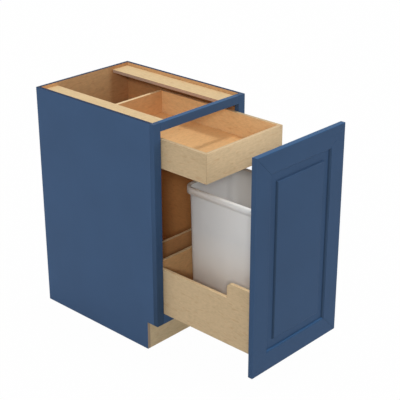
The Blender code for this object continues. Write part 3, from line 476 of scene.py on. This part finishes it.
def maple(name, grain, colour, fleck, knots=True, painted_shades=()):
    """Lacquered maple veneer with grain along an axis: soft figure, fine streaks, flecks and small knots."""
    bench = NodeBench(name)
    # From broad to fine: the figure, its clouds, the streaks of the grain, the mottle and the pinkish flecks
    wander = bench.noise(bench.stretched(along(grain, 1.6, 9.0)), detail=3.0, distortion=0.6)
    rings = bench.maths("PINGPONG", bench.maths("MULTIPLY", wander, 9.0), 0.5)
    figure = bench.spread(rings, 0.0, 0.5)
    cloud = bench.marks(along(grain, 16.0, 34.0), detail=3.0, roughness=0.6, distortion=0.4)
    streak = bench.marks(along(grain, 18.0, 420.0))
    mottle = bench.marks(along(grain, 60.0, 170.0), 0.32, 0.68, detail=3.0, roughness=0.65, distortion=0.4)
    pinkish = bench.marks(along(grain, 32.0, 150.0), 0.58, 0.7, (0.7, 0.3, 0.9), distortion=0.5)
    body = bench.mix(figure, solid(colour, 0.96), solid(colour, 1.04))
    body = bench.laid_over(body, cloud, solid(colour, 0.89), most=0.6)
    body = bench.laid_over(body, streak, solid(colour, 0.8), most=0.25)
    body = bench.laid_over(body, mottle, solid(colour, 1.19), most=0.62)
    body = bench.laid_over(body, pinkish, tinted(colour, fleck), most=0.48)
    if knots:
        cells = bench.add(
            "ShaderNodeTexVoronoi", {"Vector": bench.stretched(along(grain, 7.0, 12.0)), "Scale": 1.0})
        edge = bench.spread(
            bench.noise(bench.stretched(along(grain, 120.0, 240.0)), detail=2.0), 0.3, 0.7, -0.02, 0.02)
        knot = bench.spread(bench.maths("ADD", cells.outputs["Distance"], edge), 0.015, 0.07, 0.6, 0.0)
        body = bench.mix(knot, body, tinted(colour, fleck, 0.72))
    bench.surface(
        base_color=bench.with_painted_shades(body, painted_shades), roughness=bench.between(streak, 0.56, 0.68),
        specular_ior_level=0.2)
    bench.bump(bench.maths("ADD", streak, bench.maths("MULTIPLY", mottle, 0.5)), 0.25, 0.0002)
    return bench.material


def ply_edge(name, across, colour, fleck):
    """The cut edge of plywood: thin light and dark plies across an axis."""
    bench = NodeBench(name)
    wobble = bench.spread(bench.noise(bench.stretched((30.0, 30.0, 30.0)), detail=2.0), 0.3, 0.7, -0.2, 0.2)
    apart = bench.add("ShaderNodeSeparateXYZ", {"Vector": bench.stretched((PLIES_PER_METRE,) * 3)})
    depth = bench.maths("ADD", apart.outputs["xyz".index(across)], wobble)
    ply = bench.spread(bench.maths("PINGPONG", depth, 1.0), 0.35, 0.65)
    fibre = bench.marks((300.0, 300.0, 300.0), detail=3.0)
    body = bench.mix(ply, solid(colour), tinted(colour, fleck, 0.95))
    body = bench.laid_over(body, fibre, solid(colour, 0.75), most=0.4)
    bench.surface(base_color=body, roughness=bench.between(fibre, 0.6, 0.8), specular_ior_level=0.25)
    bench.bump(bench.maths("ADD", fibre, ply), 0.35, 0.0003)
    return bench.material


def paint(name, colour, roughness, painted_shades=()):
    """Sprayed satin paint with a faint orange peel and a little wear in its gloss."""
    bench = NodeBench(name)
    cloud = bench.marks((5.0, 5.0, 5.0), detail=4.0)
    speck = bench.marks((900.0, 900.0, 900.0))
    peel = bench.noise(bench.stretched((320.0, 320.0, 320.0)), detail=2.0)
    body = bench.mix(cloud, solid(colour, 0.95), solid(colour, 1.05))
    body = bench.laid_over(body, speck, solid(colour, 1.2), most=0.25)
    bench.surface(
        base_color=bench.with_painted_shades(body, painted_shades),
        roughness=bench.between(cloud, roughness - 0.03, roughness + 0.05), specular_ior_level=0.05)
    bench.bump(peel, 0.12, 0.0002)
    return bench.material


def zinc(name, colour):
    """Zinc plated sheet steel, with rolling marks along its length."""
    bench = NodeBench(name)
    roll = bench.marks((700.0, 12.0, 700.0), detail=3.0)
    cloud = bench.marks((60.0, 60.0, 60.0), detail=3.0)
    body = bench.mix(cloud, solid(colour, 0.9), solid(colour, 1.1))
    bench.surface(base_color=body, metallic=1.0, roughness=bench.between(roll, 0.28, 0.42))
    bench.bump(roll, 0.1, 0.0001)
    return bench.material


def moulded(name, colour, roughness, grain, glow=0.0, painted_shades=()):
    """Moulded plastic with a fine spark-eroded grain."""
    bench = NodeBench(name)
    cloud = bench.marks((9.0, 9.0, 5.0), detail=3.0)
    texture = bench.noise(bench.stretched((grain, grain, grain)), detail=2.0)
    body = bench.mix(cloud, solid(colour, 0.97), solid(colour, 1.03))
    bench.surface(
        base_color=bench.with_painted_shades(body, painted_shades), specular_ior_level=0.4,
        roughness=bench.spread(texture, 0.3, 0.7, roughness - 0.05, roughness + 0.07),
        subsurface_weight=glow, subsurface_radius=(1.0, 0.92, 0.86), subsurface_scale=0.012)
    bench.bump(texture, 0.2, 0.0002)
    return bench.material


def clear_rubber(name, colour):
    """Clear soft plastic of the bumpers."""
    bench = NodeBench(name)
    haze = bench.noise(bench.stretched((400.0, 400.0, 400.0)), detail=2.0)
    bench.surface(
        base_color=bench.mix(haze, solid(colour, 0.95), solid(colour)),
        roughness=bench.spread(haze, 0.3, 0.7, 0.12, 0.25), transmission_weight=0.75, ior=1.45)
    return bench.material


FINISHES = {}


def finish(name):
    """Gives a finish by name, made at its first use."""
    if name not in FINISHES:
        colours = bpy.context.scene.cabinet_colours
        makers = {
            "blue paint": lambda: paint("blue_paint", colours.paint, PAINT_ROUGHNESS),
            "door paint": lambda: paint("door_paint", colours.door_paint, PAINT_ROUGHNESS),
            # The stiles' paint, darkened towards the floor as painted shade
            "stile paint": lambda: paint("stile_paint", colours.door_paint, PAINT_ROUGHNESS, (
                (*STILE_FOOT_SHADE, colours.stile_foot_shade_tint),)),
            "ledge paint": lambda: paint("ledge_paint", colours.ledge_paint, PAINT_ROUGHNESS),
            "groove paint": lambda: paint("groove_paint", colours.groove_paint, PAINT_ROUGHNESS),
            "edge paint": lambda: paint("edge_paint", colours.edge_paint, EDGE_ROUGHNESS),
            # The bin's plastic with painted reflected light low down and painted shade at its rear
            "bin plastic": lambda: moulded(
                "bin_plastic", colours.bin_foot_bounce_light, BIN_ROUGHNESS, BIN_GRAIN, BIN_GLOW, (
                    (*BIN_FOOT_BOUNCE_LIGHT, tint_to(colours.bin_foot_bounce_light, colours.bin_plastic)),
                    (*BIN_REAR_SHADE, colours.bin_rear_shade_tint))),
            # The bin's inside, paler as painted light, with painted shade along its right wall
            "bin inside": lambda: moulded(
                "bin_inside", colours.bin_inside, BIN_ROUGHNESS, BIN_GRAIN, BIN_GLOW, (
                    (*BIN_RIGHT_WALL_SHADE, colours.bin_wall_shade_tint),)),
            # The rim, with a painted reflection and shade at its rear
            "bin rim": lambda: moulded(
                "bin_rim", colours.bin_rim, RIM_ROUGHNESS, BIN_GRAIN, RIM_GLOW, (
                    (*RIM_REAR_REFLECTION, colours.rim_rear_reflection_tint),)),
            "clip plastic": lambda: moulded(
                "clip_plastic", colours.clip_plastic, CLIP_ROUGHNESS, CLIP_GRAIN),
            "zinc steel": lambda: zinc("zinc_steel", colours.steel),
            "clear rubber": lambda: clear_rubber("clear_rubber", colours.bumper),
        }
        for axis in "xyz":
            makers["maple " + axis] = lambda a=axis: maple("maple_" + a, a, colours.maple, colours.fleck)
            # Copies of the maple: inside, floor, strip and edge are paler as painted light, carcase is darker
            # and redder as painted shade with more painted shade low down, plain is the toe kick's own wood
            for kind in ("inside", "floor", "carcase", "strip", "edge", "plain"):
                makers[f"{kind} {axis}"] = lambda a=axis, k=kind: maple(
                    f"{k}_maple_{a}", a, getattr(colours, "maple_" + k), colours.fleck,
                    knots=k in ("floor", "carcase"),
                    painted_shades=((*CARCASE_DEPTH_SHADE, colours.carcase_depth_shade_tint),) if k == "carcase" else ())
            # The side walls' inner maple, with painted shade under the strips and low down
            makers["wall " + axis] = lambda a=axis: maple(
                "wall_maple_" + a, a, colours.maple_carcase, colours.fleck, knots=True, painted_shades=(
                    (*UNDER_STRIP_SHADE, colours.wall_strip_shade_tint), (*CARCASE_DEPTH_SHADE, colours.wall_low_shade_tint)))
            # The back's inner maple, with painted shade low down and the right strip's painted shadow
            makers["back " + axis] = lambda a=axis: maple(
                "back_maple_" + a, a, colours.maple_carcase, colours.fleck, knots=False, painted_shades=(
                    (*CARCASE_DEPTH_SHADE, colours.carcase_depth_shade_tint), (*BACK_SHADOW, colours.back_strip_shadow_tint)))
            makers["ply " + axis] = lambda a=axis: ply_edge("ply_edge_" + a, a, colours.ply, colours.fleck)
            makers["strip ply " + axis] = lambda a=axis: ply_edge(
                "strip_ply_" + a, a, colours.strip_ply, colours.fleck)
        FINISHES[name] = makers[name]()
    return FINISHES[name]


def copy_of(node):
    """A merged copy of a solid, each flat face in one piece."""
    shape = bmesh.new()
    shape.from_mesh(frame["nodes"][node].data)
    bmesh.ops.remove_doubles(shape, verts=shape.verts, dist=MERGE_DISTANCE)
    bmesh.ops.dissolve_limit(shape, angle_limit=FLAT_ANGLE, verts=shape.verts, edges=shape.edges)
    return shape


def round_off(shape, edges, width, steps):
    """Bevels edges into rounds."""
    bmesh.ops.bevel(
        shape, geom=edges, offset=width, offset_type="OFFSET", segments=steps, profile=0.5,
        affect="EDGES", material=-1, clamp_overlap=True)


def ease(shape, width):
    """Rounds the sharp edges of a board or sheet."""
    sharp = [
        edge for edge in shape.edges
        if edge.is_manifold and edge.calc_face_angle() > EASE_ANGLE and edge.calc_length() > SHORTEST_EASED
    ]
    round_off(shape, sharp, width, EASE_STEPS)


def in_scene(name, data):
    """A new object in the scene that holds a mesh, lamp or camera."""
    item = bpy.data.objects.new(name, data)
    bpy.context.scene.collection.objects.link(item)
    return item


def set_piece(name, shape, body, finishes, nodes=(), choose=None):
    """Makes a piece from a bmesh, with its finishes, and puts it on its body in place of its nodes."""
    mesh = bpy.data.meshes.new(name)
    shape.to_mesh(mesh)
    shape.free()
    # The stored normals of a solid don't fit its eased copy
    for old in [layer for layer in mesh.attributes if layer.name == "custom_normal"]:
        mesh.attributes.remove(old)
    mesh.materials.clear()
    for look in finishes:
        mesh.materials.append(finish(look))
    for face in mesh.polygons:
        face.material_index = choose(face.center, face.normal) if choose else 0
    mesh.shade_smooth()
    mesh.set_sharp_from_angle(angle=SMOOTH_ANGLE)
    piece = in_scene(name, mesh)
    weighted = piece.modifiers.new("weighted normals", "WEIGHTED_NORMAL")
    weighted.keep_sharp = True
    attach(piece, body)
    if nodes:
        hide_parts(*nodes)
    return piece


def body_of(node):
    """The body that carries a node."""
    return frame["nodes"][node]["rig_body"]


def finished_board(node, width, finishes, choose=None):
    """An eased copy of a board in its finishes."""
    shape = copy_of(node)
    ease(shape, width)
    return set_piece(node + "_finished", shape, body_of(node), finishes, (node,), choose)


def like_boards(parts, width, look):
    """The like pieces of both sides and levels, all in one finish."""
    for side in SIDES:
        for level in LEVELS:
            for part in parts:
                finished_board(f"{level}_{part}_{side}", width, [look])


def wooden_box(prefix, sizes):
    """The boards of a drawer box, each with its grain along its length."""
    grains = {"side_left": "y", "side_right": "y", "bottom": "x"}
    # The pull-out's inner faces take the darker carcase maple as painted shade; the inner drawer's take the
    # paler inside maple as painted light; the pull-out's top edges take the paler edge maple, also painted
    # light
    if prefix == "pullout":
        ends, inner, edge = ("front_board", "back_board", "divider"), "carcase", "edge"
    else:
        ends, inner, edge = ("front", "back"), "inside", "maple"
    grains.update({end: "x" for end in ends})
    inward = {"side_left": (1, 0, 0), "side_right": (-1, 0, 0), "bottom": (0, 0, 1), ends[0]: (0, 1, 0)}
    for part, grain in grains.items():
        node = f"{prefix}_{part}"
        facing = Vector(inward.get(part, (0, -1, 0)))
        finished_board(
            node, sizes.board_easing,
            ["maple " + grain, f"{INNER_LOOKS.get(node, inner)} {grain}",
             f"{EDGE_LOOKS.get(node, edge)} {grain}"],
            lambda center, normal, facing=facing:
                1 if normal.dot(facing) > FACING else 2 if normal.z > LEANING else 0)


class CABINET_OT_panels(bpy.types.Operator):
    """Makes the side panels, back, floor and toe kick board"""

    bl_idname = "cabinet.panels"
    bl_label = "Panels"

    def execute(self, context):
        """Builds the panels."""
        width = context.scene.cabinet_sizes.board_easing
        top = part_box("side_panel_left")[1].z
        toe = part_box("face_bottom_rail")[0].z
        for side, sign in SIDES.items():
            def choose(center, normal, sign=sign):
                if normal.z > FACING and center.z > top - 2.0 * width:
                    return 1
                if normal.x * sign > LEANING or normal.y < -FACING and center.z > toe:
                    return 0
                return 2 if normal.x * sign < -FACING else 3
            # The inner faces take the wall maple with its painted shade
            finished_board(
                "side_panel_" + side, width,
                ["blue paint", "edge paint", "wall y", "ply x"], choose)

        def choose_back(center, normal):
            if normal.z > FACING:
                return 0
            if normal.y > LEANING:
                return 3
            return 1 if normal.y < -FACING else 2
        # The back's inner face takes the back maple with its painted shade and shadow
        finished_board(
            "back_panel", width, ["edge paint", "back x", "ply y", "blue paint"], choose_back)
        # The floor takes the darker carcase maple, as painted shade
        finished_board(
            "floor_panel", width, ["carcase y", "ply z"],
            lambda center, normal: 0 if abs(normal.z) > FACING else 1)
        finished_board("toe_kick_board", width, ["plain x"])
        return {"FINISHED"}


class CABINET_OT_strips(bpy.types.Operator):
    """Makes the two natural strips under the top edges"""

    bl_idname = "cabinet.strips"
    bl_label = "Top strips"

    def execute(self, context):
        """Builds the strips."""
        for side in SIDES:
            # Their flat faces take the paler strip maple, as painted light
            finished_board(
                "top_strip_" + side, context.scene.cabinet_sizes.board_easing,
                ["strip y", "strip ply z"], lambda center, normal: 0 if abs(normal.z) > FACING else 1)
        return {"FINISHED"}


class CABINET_OT_face_frame(bpy.types.Operator):
    """Makes the painted stiles and rails of the face frame"""

    bl_idname = "cabinet.face_frame"
    bl_label = "Face frame"

    def execute(self, context):
        """Builds the face frame."""
        for part in ("stile_left", "stile_right", "top_rail", "bottom_rail"):
            # The top rail's faces that look up take the lighter ledge paint as painted light; the stiles take
            # the stile paint with its painted shade.
            lit_ledge = part == "top_rail"
            finished_board(
                "face_" + part, context.scene.cabinet_sizes.frame_easing,
                ["stile paint" if "stile" in part else "door paint", "ledge paint"],
                lambda center, normal, lit_ledge=lit_ledge: 1 if lit_ledge and normal.z > LEANING else 0)
        return {"FINISHED"}


class CABINET_OT_cleats(bpy.types.Operator):
    """Makes the wooden cleats behind the slides"""

    bl_idname = "cabinet.cleats"
    bl_label = "Slide cleats"

    def execute(self, context):
        """Builds the cleats."""
        width = context.scene.cabinet_sizes.board_easing
        # The cleats take the darker carcase maple, as painted shade
        like_boards(["slide_cleat"], width, "carcase y")
        return {"FINISHED"}


class CABINET_OT_slides(bpy.types.Operator):
    """Makes the undermount slides of folded steel"""

    bl_idname = "cabinet.slides"
    bl_label = "Slides"

    def execute(self, context):
        """Builds the slides."""
        members = ["slide_runner", "slide_middle", "slide_drawer_member"]
        like_boards(members, context.scene.cabinet_sizes.steel_easing, "zinc steel")
        return {"FINISHED"}


class CABINET_OT_clips(bpy.types.Operator):
    """Makes the locking clips and their thumb levers"""

    bl_idname = "cabinet.clips"
    bl_label = "Locking clips"

    def execute(self, context):
        """Builds the clips and levers."""
        width = context.scene.cabinet_sizes.clip_easing
        like_boards(["lock_clip", "lock_lever"], width, "clip plastic")
        return {"FINISHED"}


class CABINET_OT_door(bpy.types.Operator):
    """Makes the painted door: four mitred members round a raised panel"""

    bl_idname = "cabinet.door"
    bl_label = "Door"

    def execute(self, context):
        """Builds the door."""
        for part in ("stile_left", "stile_right", "top_rail", "bottom_rail", "panel"):
            # Faces that look up take a lighter paint as painted light: the ledge paint on the frame, the blue
            # paint on the panel. The right stile's and the panel's faces that look left take the groove paint
            # as painted shade.
            shaded_groove = part in ("stile_right", "panel")
            finished_board(
                "door_" + part, context.scene.cabinet_sizes.steel_easing,
                ["door paint", "blue paint" if part == "panel" else "ledge paint", "groove paint"],
                lambda center, normal, shaded_groove=shaded_groove:
                    1 if normal.z > LEANING else 2 if shaded_groove and normal.x < -LEANING else 0)
        return {"FINISHED"}


class CABINET_OT_bumpers(bpy.types.Operator):
    """Gives the clear bumpers behind the door their finish"""

    bl_idname = "cabinet.bumpers"
    bl_label = "Door bumpers"

    def execute(self, context):
        """Finishes the bumpers."""
        for side in SIDES:
            for height in ("top", "bottom"):
                bumper = frame["nodes"][f"door_bumper_{height}_{side}"]
                bumper.data.materials.clear()
                bumper.data.materials.append(finish("clear rubber"))
        return {"FINISHED"}


class CABINET_OT_pullout(bpy.types.Operator):
    """Makes the pull-out box with its raised wings and divider"""

    bl_idname = "cabinet.pullout"
    bl_label = "Pull-out box"

    def execute(self, context):
        """Builds the pull-out box."""
        wooden_box("pullout", context.scene.cabinet_sizes)
        return {"FINISHED"}


class CABINET_OT_inner_drawer(bpy.types.Operator):
    """Makes the shallow inner drawer above the bin"""

    bl_idname = "cabinet.inner_drawer"
    bl_label = "Inner drawer"

    def execute(self, context):
        """Builds the inner drawer."""
        wooden_box("inner_drawer", context.scene.cabinet_sizes)
        return {"FINISHED"}


def round_corner(vertex, center, half, corner):
    """The point of a round-cornered box's core that is nearest to a vertex, and the level way from it."""
    x = vertex.co.x - center.x
    y = vertex.co.y - center.y
    core_x = max(corner - half.x, min(half.x - corner, x))
    core_y = max(corner - half.y, min(half.y - corner, y))
    return Vector((core_x, core_y, 0.0)), Vector((x - core_x, y - core_y, 0.0)).normalized()


class CABINET_OT_bin(bpy.types.Operator):
    """Makes the waste bin: a tapered shell with a round foot and a rolled rim"""

    bl_idname = "cabinet.waste_bin"
    bl_label = "Waste bin"

    def execute(self, context):
        """Builds the bin."""
        sizes = context.scene.cabinet_sizes
        low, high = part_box("waste_bin")
        center = (low + high) / 2.0
        lip = sizes.bin_rim_width - sizes.bin_wall
        half = (high - low) / 2.0 - Vector((sizes.bin_rim_width, sizes.bin_rim_width, 0.0))
        # A box with round corners, open at the top
        shape = bmesh.new()
        bmesh.ops.create_cube(shape, size=2.0)
        bmesh.ops.scale(shape, vec=half, verts=shape.verts)
        bmesh.ops.translate(shape, vec=center, verts=shape.verts)
        upright = [edge for edge in shape.edges if abs(edge.verts[0].co.z - edge.verts[1].co.z) > half.z]
        round_off(shape, upright, sizes.bin_corner, BIN_CORNER_STEPS)
        lid = [face for face in shape.faces if face.normal.z > FACING]
        bmesh.ops.delete(shape, geom=lid, context="FACES_ONLY")
        # The rim's path: half a turn over the edge, then down the skirt
        rolled = [math.pi * (step / BIN_RIM_STEPS - 0.5) for step in range(BIN_RIM_STEPS + 1)]
        crown = high.z - sizes.bin_wall - lip / 2.0
        path = [((math.sin(turn) + 1.0) * lip / 2.0, crown + math.cos(turn) * lip / 2.0) for turn in rolled]
        path.append((lip, high.z - sizes.bin_rim_drop))
        # The foot draws in, and the top comes to where the path starts
        for vertex in shape.verts:
            if vertex.co.z < center.z:
                vertex.co -= round_corner(vertex, center, half, sizes.bin_corner)[1] * sizes.bin_taper
            else:
                vertex.co.z = crown
        foot = [edge for edge in shape.edges if all(vertex.co.z < center.z for vertex in edge.verts)
                and edge.is_manifold]
        round_off(shape, foot, sizes.bin_foot, BIN_FOOT_STEPS)
        # The rim grows ring by ring from the open edge
        edges = [edge for edge in shape.edges if edge.is_boundary]
        for out, level in path[1:]:
            grown = bmesh.ops.extrude_edge_only(shape, edges=edges)["geom"]
            rim = [item for item in grown if isinstance(item, bmesh.types.BMVert)]
            edges = [item for item in grown if isinstance(item, bmesh.types.BMEdge) and item.is_boundary]
            for vertex in rim:
                core, push = round_corner(vertex, center, half, sizes.bin_corner)
                vertex.co = Vector((center.x, center.y, level)) + core + push * (sizes.bin_corner + out)
        bmesh.ops.remove_doubles(shape, verts=shape.verts, dist=MERGE_DISTANCE)
        bmesh.ops.recalc_face_normals(shape, faces=shape.faces)
        lowest = min(shape.faces, key=lambda face: face.calc_center_median().z)
        if lowest.normal.z > 0.0:
            bmesh.ops.reverse_faces(shape, faces=shape.faces)
        # The bin's finishes carry painted light and shade: the paler inside, the warmer foot, the darker rear
        # and right inner wall, and the rim's painted reflection at its rear
        piece = set_piece(
            "waste_bin_finished", shape, body_of("waste_bin"),
            ["bin plastic", "bin inside", "bin rim"], ("waste_bin",),
            lambda center, normal: 1 if center.z > high.z - sizes.bin_rim_drop else 0)
        piece.modifiers.remove(piece.modifiers[0])
        # The wall's new side takes the next finish: the inside's on the body, and the rim's own on the rim
        wall = piece.modifiers.new("wall", "SOLIDIFY")
        wall.thickness = sizes.bin_wall
        wall.offset = -1.0
        wall.use_even_offset = True
        wall.material_offset = 1
        return {"FINISHED"}


def screw_head(shape, radius, place, facing):
    """Adds a pan head with a cross recess to a bmesh, its back on a place."""
    made = bmesh.ops.create_circle(
        shape, cap_ends=True, cap_tris=False, segments=HEAD_SEGMENTS, radius=radius)
    disc = made["verts"][0].link_faces[0]
    if disc.normal.z < 0.0:
        disc.normal_flip()
    rise = radius * HEAD_RISE
    head = bmesh.ops.extrude_face_region(shape, geom=[disc])["geom"]
    top = [item for item in head if isinstance(item, bmesh.types.BMFace)][0]
    bmesh.ops.translate(shape, vec=(0.0, 0.0, rise), verts=top.verts)
    for inward, up in HEAD_STEPS:
        bmesh.ops.inset_region(shape, faces=[top], thickness=radius * inward, depth=radius * up)
    # Two vertices of each quarter stay out as an arm's end, and the others draw in to form the cross
    for index, vertex in enumerate(top.verts):
        if index % (HEAD_SEGMENTS // 4) > 1:
            vertex.co.x *= RECESS_WAIST
            vertex.co.y *= RECESS_WAIST
    recess = bmesh.ops.extrude_face_region(shape, geom=[top])["geom"]
    floor = [item for item in recess if isinstance(item, bmesh.types.BMFace)][0]
    bmesh.ops.translate(shape, vec=(0.0, 0.0, -rise), verts=floor.verts)
    bmesh.ops.delete(shape, geom=[top], context="FACES_ONLY")
    # Everything joined to this head, and nothing of the screws made before it, moves to the place
    fresh = set(made["verts"])
    grown = True
    while grown:
        near = {edge.other_vert(vertex) for vertex in fresh for edge in vertex.link_edges} - fresh
        grown = bool(near)
        fresh |= near
    turn = facing.to_track_quat("Z", "Y").to_matrix().to_4x4()
    bmesh.ops.transform(shape, matrix=Matrix.Translation(place) @ turn, verts=list(fresh))


class CABINET_OT_screws(bpy.types.Operator):
    """Makes the screws of the door and the slides"""

    bl_idname = "cabinet.screws"
    bl_label = "Screws"

    def execute(self, context):
        """Builds the screws."""
        sizes = context.scene.cabinet_sizes
        radius = sizes.screw_radius
        low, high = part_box("pullout_front_board")
        shape = bmesh.new()
        for share_x in DOOR_SCREWS_ACROSS:
            for share_z in DOOR_SCREWS_UP:
                place = Vector((high.x * share_x, high.y, low.z + (high.z - low.z) * share_z))
                screw_head(shape, radius, place, Vector((0.0, 1.0, 0.0)))
        self.place_screws(shape, "door_fixing_screws", "pullout")
        for level in LEVELS:
            shape = bmesh.new()
            for side, sign in SIDES.items():
                low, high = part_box(f"{level}_slide_runner_{side}")
                face = (high.x if sign > 0.0 else low.x) - sign * sizes.runner_steel
                for share_y in RUNNER_SCREWS_ALONG:
                    place = Vector((
                        face, low.y + (high.y - low.y) * share_y, low.z + sizes.runner_screw_height))
                    screw_head(shape, radius, place, Vector((-sign, 0.0, 0.0)))
            self.place_screws(shape, level + "_runner_screws", "cabinet")
        return {"FINISHED"}

    def place_screws(self, shape, name, body):
        """Puts a set of screws on its body."""
        bmesh.ops.recalc_face_normals(shape, faces=shape.faces)
        set_piece(name, shape, body, ["zinc steel"])


def seen_rays(tree):
    """The sum of camera, glossy and transmission rays, at most 1."""
    path = tree.nodes.new("ShaderNodeLightPath")
    total = path.outputs["Is Camera Ray"]
    for name in ("Is Glossy Ray", "Is Transmission Ray"):
        adder = tree.nodes.new("ShaderNodeMath")
        adder.operation = "ADD"
        adder.use_clamp = True
        tree.links.new(total, adder.inputs[0])
        tree.links.new(path.outputs[name], adder.inputs[1])
        total = adder.outputs["Value"]
    return total


def mixed(tree, share, first, second):
    """A Mix Shader of two shaders."""
    node = tree.nodes.new("ShaderNodeMixShader")
    if isinstance(share, bpy.types.NodeSocket):
        tree.links.new(share, node.inputs[0])
    else:
        node.inputs[0].default_value = share
    tree.links.new(first, node.inputs[1])
    tree.links.new(second, node.inputs[2])
    return node.outputs[0]


def floor_finish(colour, glow_share):
    """Pale floor that is white to the camera and keeps a light shadow."""
    material = bpy.data.materials.new("pale_floor")
    material.use_nodes = True
    tree = material.node_tree
    tree.nodes.clear()
    matt = tree.nodes.new("ShaderNodeBsdfDiffuse")
    matt.inputs["Color"].default_value = solid(colour)
    glow = tree.nodes.new("ShaderNodeEmission")
    glow.inputs["Strength"].default_value = 1.0
    seen = mixed(tree, glow_share, matt.outputs[0], glow.outputs[0])
    end = tree.nodes.new("ShaderNodeOutputMaterial")
    tree.links.new(mixed(tree, seen_rays(tree), matt.outputs[0], seen), end.inputs["Surface"])
    return material


class CABINET_OT_stage(bpy.types.Operator):
    """Makes the floor, the light and the camera"""

    bl_idname = "cabinet.stage"
    bl_label = "Stage"

    def execute(self, context):
        """Builds the stage."""
        stage = context.scene.cabinet_stage
        self.make_floor(stage)
        self.make_world(stage)
        self.make_lamp("top_lamp", stage.top_heading, stage.top_lamp, stage.top_lamp_size)
        self.make_lamp("front_lamp", stage.front_heading, stage.front_lamp, stage.front_lamp_size)
        self.make_fill(stage)
        self.make_camera(stage)
        context.scene.view_settings.view_transform = "Standard"
        return {"FINISHED"}

    def make_floor(self, stage):
        """Lays the floor."""
        shape = bmesh.new()
        bmesh.ops.create_grid(shape, x_segments=1, y_segments=1, size=stage.floor_reach)
        mesh = bpy.data.meshes.new("floor")
        shape.to_mesh(mesh)
        shape.free()
        mesh.materials.append(floor_finish(stage.floor_colour, stage.floor_glow))
        floor = in_scene("floor", mesh)

    def make_world(self, stage):
        """Lights the room evenly, and shows it white."""
        world = bpy.data.worlds.new("room")
        world.use_nodes = True
        tree = world.node_tree
        tree.nodes.clear()
        whites = []
        for strength in (stage.daylight, 1.0):
            white = tree.nodes.new("ShaderNodeBackground")
            white.inputs["Color"].default_value = (1.0, 1.0, 1.0, 1.0)
            white.inputs["Strength"].default_value = strength
            whites.append(white.outputs[0])
        end = tree.nodes.new("ShaderNodeOutputWorld")
        tree.links.new(mixed(tree, seen_rays(tree), *whites), end.inputs["Surface"])
        bpy.context.scene.world = world

    def make_lamp(self, name, heading, strength, size):
        """Hangs a lamp that shines along a heading."""
        data = bpy.data.lights.new(name, "SUN")
        data.energy = strength
        data.angle = size
        self.hang(name, data, Vector(heading) * -LAMP_DISTANCE, heading)

    def make_fill(self, stage):
        """Hangs the small panel that lights the inner drawer's front and the bin's mouth."""
        data = bpy.data.lights.new("fill_lamp", "AREA")
        data.energy = stage.fill_lamp
        data.shape = "RECTANGLE"
        data.size, data.size_y = stage.fill_size
        lamp = self.hang("fill_lamp", data, stage.fill_place, stage.fill_heading)
        lamp.visible_camera = False
        lamp.visible_glossy = False

    def hang(self, name, data, place, heading):
        """Puts a lamp in its place and turns it along its heading."""
        lamp = in_scene(name, data)
        lamp.location = place
        lamp.rotation_mode = "QUATERNION"
        lamp.rotation_quaternion = Vector(heading).to_track_quat("-Z", "Y")
        return lamp

    def make_camera(self, stage):
        """Sets up the camera at the photograph's angle."""
        azimuth, dip, roll = stage.camera_azimuth, stage.camera_dip, stage.camera_roll
        forward = Vector((
            math.cos(dip) * math.sin(azimuth), math.cos(dip) * math.cos(azimuth), -math.sin(dip)))
        across = forward.cross(Vector((0.0, 0.0, 1.0))).normalized()
        fall = forward.cross(across)
        right = math.cos(roll) * across + math.sin(roll) * fall
        down = math.cos(roll) * fall - math.sin(roll) * across
        data = bpy.data.cameras.new("camera")
        data.lens = stage.lens
        data.sensor_width = SENSOR_WIDTH
        camera = in_scene("camera", data)
        camera.matrix_world = (
            Matrix.Translation(stage.camera_place) @ Matrix((right, -down, -forward)).transposed().to_4x4())
        bpy.context.scene.camera = camera


MAKERS = (
    CABINET_OT_panels,
    CABINET_OT_strips,
    CABINET_OT_face_frame,
    CABINET_OT_cleats,
    CABINET_OT_slides,
    CABINET_OT_clips,
    CABINET_OT_door,
    CABINET_OT_bumpers,
    CABINET_OT_pullout,
    CABINET_OT_inner_drawer,
    CABINET_OT_bin,
    CABINET_OT_screws,
    CABINET_OT_stage,
)


class CABINET_PT_panel(bpy.types.Panel):
    """Lists the cabinet's sizes, colours and makers"""

    bl_label = "Pull-out trash cabinet"
    bl_idname = "CABINET_PT_panel"
    bl_space_type = "VIEW_3D"
    bl_region_type = "UI"
    bl_category = "Cabinet"

    def draw(self, context):
        """Draws the panel."""
        scene = context.scene
        for group in (scene.cabinet_sizes, scene.cabinet_colours, scene.cabinet_stage):
            box = self.layout.box()
            for name in group.__annotations__:
                box.prop(group, name)
        for maker in MAKERS:
            self.layout.operator(maker.bl_idname)


CLASSES = (CabinetSizes, CabinetColours, CabinetStage, *MAKERS, CABINET_PT_panel)


def register():
    """Registers the classes and the scene's settings."""
    for each in CLASSES:
        bpy.utils.register_class(each)
    bpy.types.Scene.cabinet_sizes = bpy.props.PointerProperty(type=CabinetSizes)
    bpy.types.Scene.cabinet_colours = bpy.props.PointerProperty(type=CabinetColours)
    bpy.types.Scene.cabinet_stage = bpy.props.PointerProperty(type=CabinetStage)


def unregister():
    """Takes the settings and the classes away again."""
    del bpy.types.Scene.cabinet_stage
    del bpy.types.Scene.cabinet_colours
    del bpy.types.Scene.cabinet_sizes
    for each in reversed(CLASSES):
        bpy.utils.unregister_class(each)


def main():
    """Makes every piece and the stage."""
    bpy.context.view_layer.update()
    register()
    for maker in MAKERS:
        group, name = maker.bl_idname.split(".")
        getattr(getattr(bpy.ops, group), name)()


if __name__ == "__main__":
    main()
